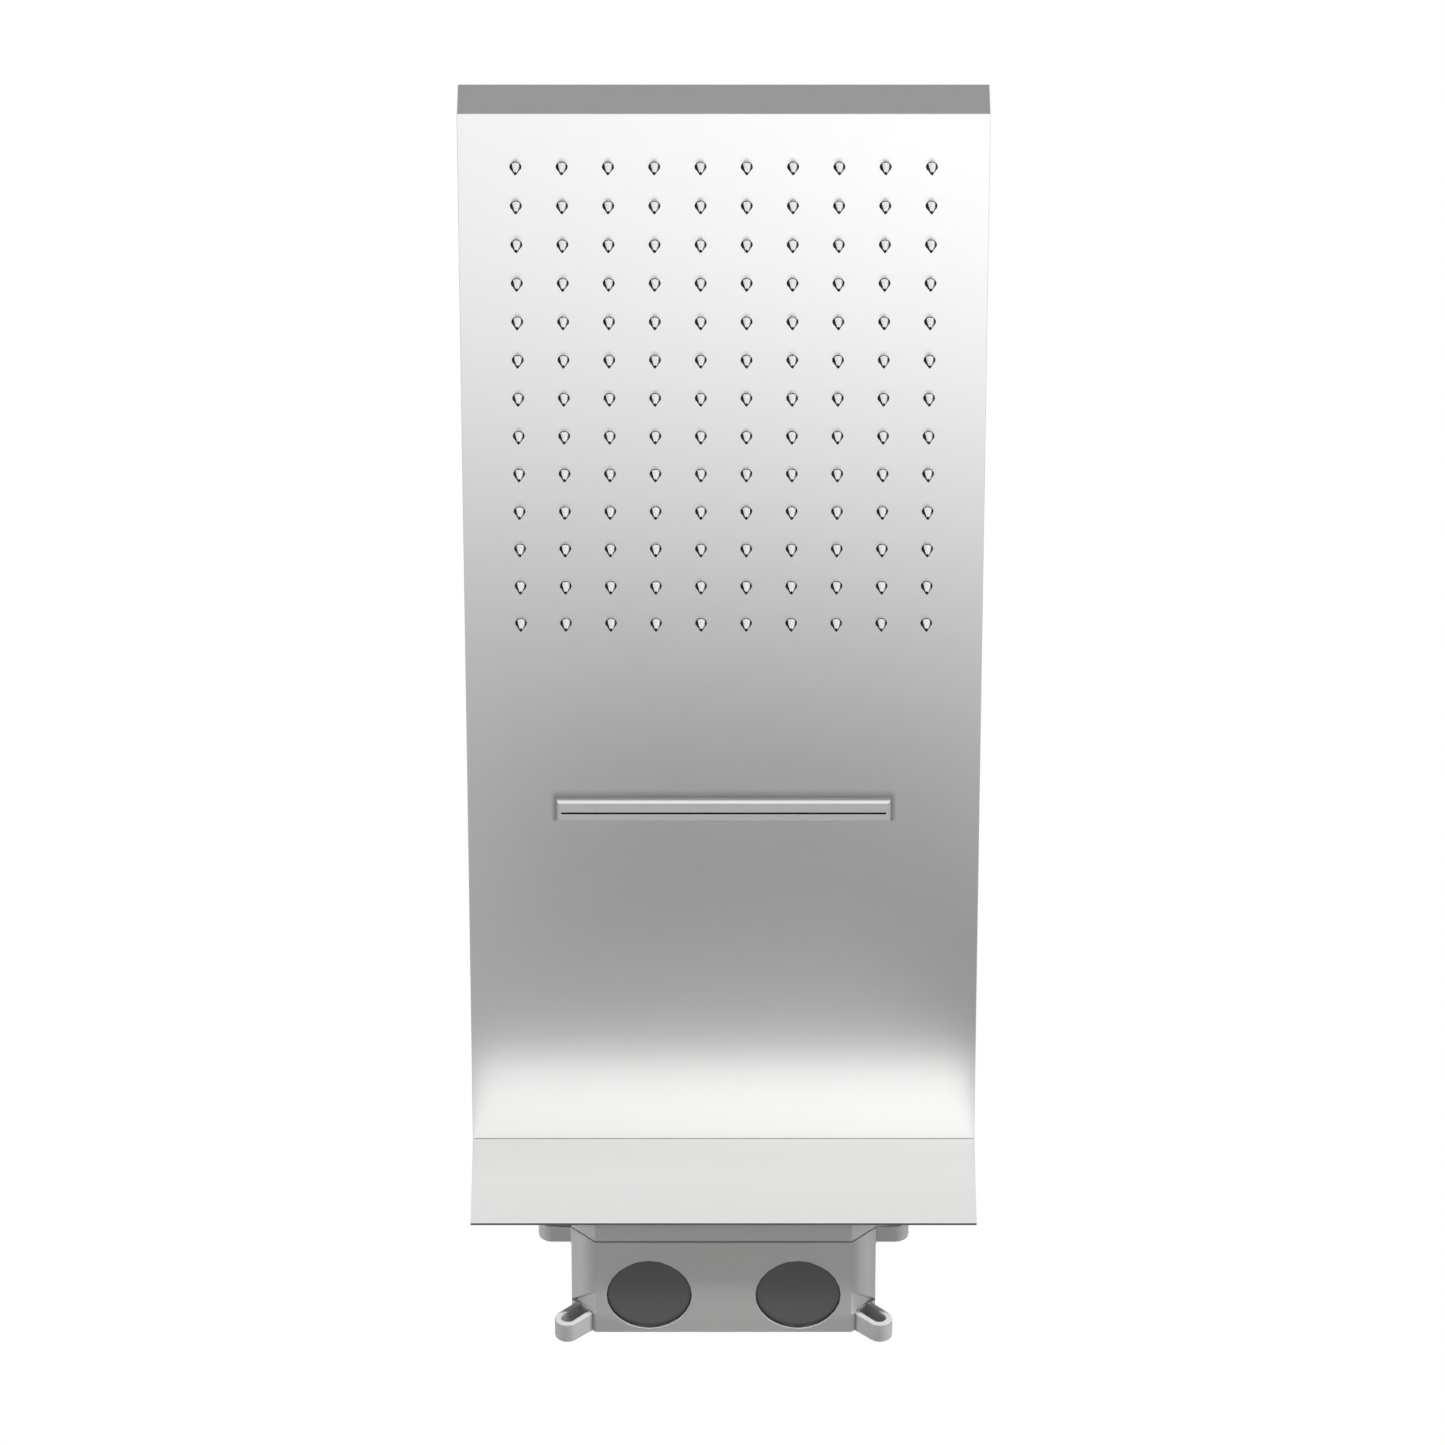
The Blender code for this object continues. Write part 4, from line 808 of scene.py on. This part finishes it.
# The wall below the plate, grey near the plate and bright lower down, which the underside mirrors.
WALL_FACE = -0.02
WALL_HALF = 2
WALL_LOW, WALL_HIGH = -1.6, -0.085
WALL_GLOW = 1.56
# Height on the wall, and how bright it is there.
WALL_TONES = [
    (WALL_LOW, 0.99),
    (-1.0, 0.985),
    (-0.869, 0.93),
    (-0.789, 0.86),
    (-0.729, 0.805),
    (-0.67, 0.71),
    (-0.611, 0.525),
    (-0.553, 0.368),
    (-0.4956, 0.315),
    (-0.452, 0.282),
    (-0.421, 0.25),
    (-0.39, 0.19),
    (-0.359, 0.145),
    (-0.308, 0.132),
    (-0.281, 0.148),
    (-0.25, 0.2),
    (-0.219, 0.282),
    (-0.195, 0.32),
    (WALL_HIGH, 0.312),
]
# Place across the wall, and the least brightness there; then the share of it that is kept.
WALL_MIDDLE = [
    (-WALL_HALF, 0.4),
    (-0.152, 0.385),
    (-0.056, 0.14),
    (0.072, 0.14),
    (0.18, 0.32),
    (WALL_HALF, 0.33),
]
WALL_SIDES = [(-WALL_HALF, 0.6), (-0.32, 0.667), (0.32, 1.0), (WALL_HALF, 1.0)]


def between(low, high, tones):
    """Tones at real places on a card, as stops from 0 at its low end to 1 at its high end."""
    return [((place - low) / (high - low), tone) for place, tone in tones]


card(
    "wall_card",
    [
        (-WALL_HALF, WALL_FACE, WALL_LOW),
        (WALL_HALF, WALL_FACE, WALL_LOW),
        (WALL_HALF, WALL_FACE, WALL_HIGH),
        (-WALL_HALF, WALL_FACE, WALL_HIGH),
    ],
    WALL_GLOW,
    ("Y", "MIX", between(WALL_LOW, WALL_HIGH, WALL_TONES)),
    ("X", "LIGHTEN", between(-WALL_HALF, WALL_HALF, WALL_MIDDLE)),
    ("X", "MULTIPLY", between(-WALL_HALF, WALL_HALF, WALL_SIDES)),
)

# A shade on the wall's right, which darkens the mirrored corner.
SHADE_FACE = -0.0215
SHADE_LOW, SHADE_HIGH = -0.27, -0.12
SHADE_RIGHT = 0.45
SHADE_LEFT_LOW, SHADE_LEFT_HIGH = 0.05, 0.11
SHADE_GREY = 0.26
card(
    "shade_card",
    [
        (SHADE_LEFT_LOW, SHADE_FACE, SHADE_LOW),
        (SHADE_RIGHT, SHADE_FACE, SHADE_LOW),
        (SHADE_RIGHT, SHADE_FACE, SHADE_HIGH),
        (SHADE_LEFT_HIGH, SHADE_FACE, SHADE_HIGH),
    ],
    1.0,
    ("Y", "MIX", [(0.0, SHADE_GREY), (1.0, SHADE_GREY)]),
)

# A bright strip close to the plate, which only the corner of the underside and the plate mirrors,
# after two reflections.
STRIP_FACE = -0.1
STRIP_HALF = 0.25
STRIP_LOW, STRIP_HIGH = -0.125, -0.046
STRIP_GLOW = 1.36
STRIP_TONES = [(0.25, 0.88), (0.75, 1.0)]
card(
    "corner_card",
    [
        (-STRIP_HALF, STRIP_FACE, STRIP_LOW),
        (-STRIP_HALF, STRIP_FACE, STRIP_HIGH),
        (STRIP_HALF, STRIP_FACE, STRIP_HIGH),
        (STRIP_HALF, STRIP_FACE, STRIP_LOW),
    ],
    STRIP_GLOW,
    ("Y", "MIX", STRIP_TONES),
    in_corner=True,
)

# A grey ceiling in front of the head, which its front edge mirrors.
CEILING_HALF = 1.5
CEILING_FRONT, CEILING_BACK = -1.8, -0.7
CEILING_HEIGHT = 0.5
CEILING_GREY = 0.315
card(
    "ceiling_card",
    [
        (-CEILING_HALF, CEILING_FRONT, CEILING_HEIGHT),
        (CEILING_HALF, CEILING_FRONT, CEILING_HEIGHT),
        (CEILING_HALF, CEILING_BACK, CEILING_HEIGHT),
        (-CEILING_HALF, CEILING_BACK, CEILING_HEIGHT),
    ],
    1.0,
    ("Y", "MIX", [(0.0, CEILING_GREY), (1.0, CEILING_GREY)]),
)

# Grey walls and a roof round the studio, which the head's front, sides and top mirror.
ROOM = 2.4
ROOM_LOW, ROOM_HIGH = -0.9, 1.7
ROOM_TONES = [(0.0, 0.5), (0.25, 0.4), (0.45, 0.74), (1.0, 0.92)]
ROOM_SIDES = [(0.0, 0.8), (0.35, 0.75), (0.65, 1.0), (1.0, 1.0)]
ROOF_TONES = [(0.0, 0.95), (0.35, 0.9), (0.6, 0.62), (1.0, 0.55)]
room_corners = [(-ROOM, -ROOM), (ROOM, -ROOM), (ROOM, ROOM), (-ROOM, ROOM)]
for number, name in enumerate(("front", "right", "back", "left")):
    start, end = room_corners[number], room_corners[(number + 1) % 4]
    card(
        f"{name}_wall",
        [(*start, ROOM_LOW), (*end, ROOM_LOW), (*end, ROOM_HIGH), (*start, ROOM_HIGH)],
        1.0,
        ("Y", "MIX", ROOM_TONES),
        ("X", "MULTIPLY", ROOM_SIDES),
    )
card(
    "roof",
    [(*corner, ROOM_HIGH) for corner in room_corners],
    1.0,
    ("Y", "MIX", ROOF_TONES),
)

# The floor, far below the head, pale and out of the camera's sight.
FLOOR_PALE = (0.8, 0.8, 0.8, 1)
FLOOR_HALF = 12
FLOOR_LEVEL = -4.6
floor_mesh = bpy.data.meshes.new("floor")
floor_mesh.from_pydata(
    [
        (-FLOOR_HALF, -FLOOR_HALF, FLOOR_LEVEL),
        (FLOOR_HALF, -FLOOR_HALF, FLOOR_LEVEL),
        (FLOOR_HALF, FLOOR_HALF, FLOOR_LEVEL),
        (-FLOOR_HALF, FLOOR_HALF, FLOOR_LEVEL),
    ],
    [],
    [(0, 1, 2, 3)],
)
floor = bpy.data.objects.new("floor", floor_mesh)
floor_material = finish("studio_floor", FLOOR_PALE, roughness=0.9, shade=0.02, scale=2)
nodes, links = floor_material.node_tree.nodes, floor_material.node_tree.links
path = nodes.new("ShaderNodeLightPath")
mirrored = nodes.new("ShaderNodeMath")
mirrored.operation = "MAXIMUM"
links.new(path.outputs["Is Camera Ray"], mirrored.inputs[0])
links.new(path.outputs["Is Glossy Ray"], mirrored.inputs[1])
glow = nodes.new("ShaderNodeEmission")
mixed = nodes.new("ShaderNodeMixShader")
links.new(mirrored.outputs[0], mixed.inputs["Fac"])
links.new(nodes["Principled BSDF"].outputs[0], mixed.inputs[1])
links.new(glow.outputs[0], mixed.inputs[2])
links.new(mixed.outputs[0], nodes["Material Output"].inputs["Surface"])
floor_mesh.materials.append(floor_material)
scene.collection.objects.link(floor)


# The lamps. The low one in front grazes the box's floor and draws the shadow line across it.
def lamp(name, place, target, size, power):
    """A soft square lamp aimed at a point, which reflections don't show."""
    data = bpy.data.lights.new(name, "AREA")
    data.size = size
    data.energy = power
    obj = bpy.data.objects.new(name, data)
    obj.location = place
    obj.rotation_euler = (Vector(target) - Vector(place)).to_track_quat("-Z", "Y").to_euler()
    obj.visible_glossy = False
    scene.collection.objects.link(obj)


lamp("front_low", place=(0.9, -5.0, -0.725), target=(0, 0, -0.06), size=0.2, power=440)
lamp("side_left", place=(-3.0, -0.4, -0.6), target=(0, -0.1, 0), size=1.0, power=72)
lamp("side_right", place=(3.0, -0.4, -0.6), target=(0, -0.1, 0), size=1.0, power=72)
lamp("above", place=(0.5, -1.0, 3.5), target=(0, -0.2, 0), size=2.0, power=60)
lamp("behind", place=(-0.8, 4.0, 1.2), target=(0, 0, 0), size=1.5, power=150)
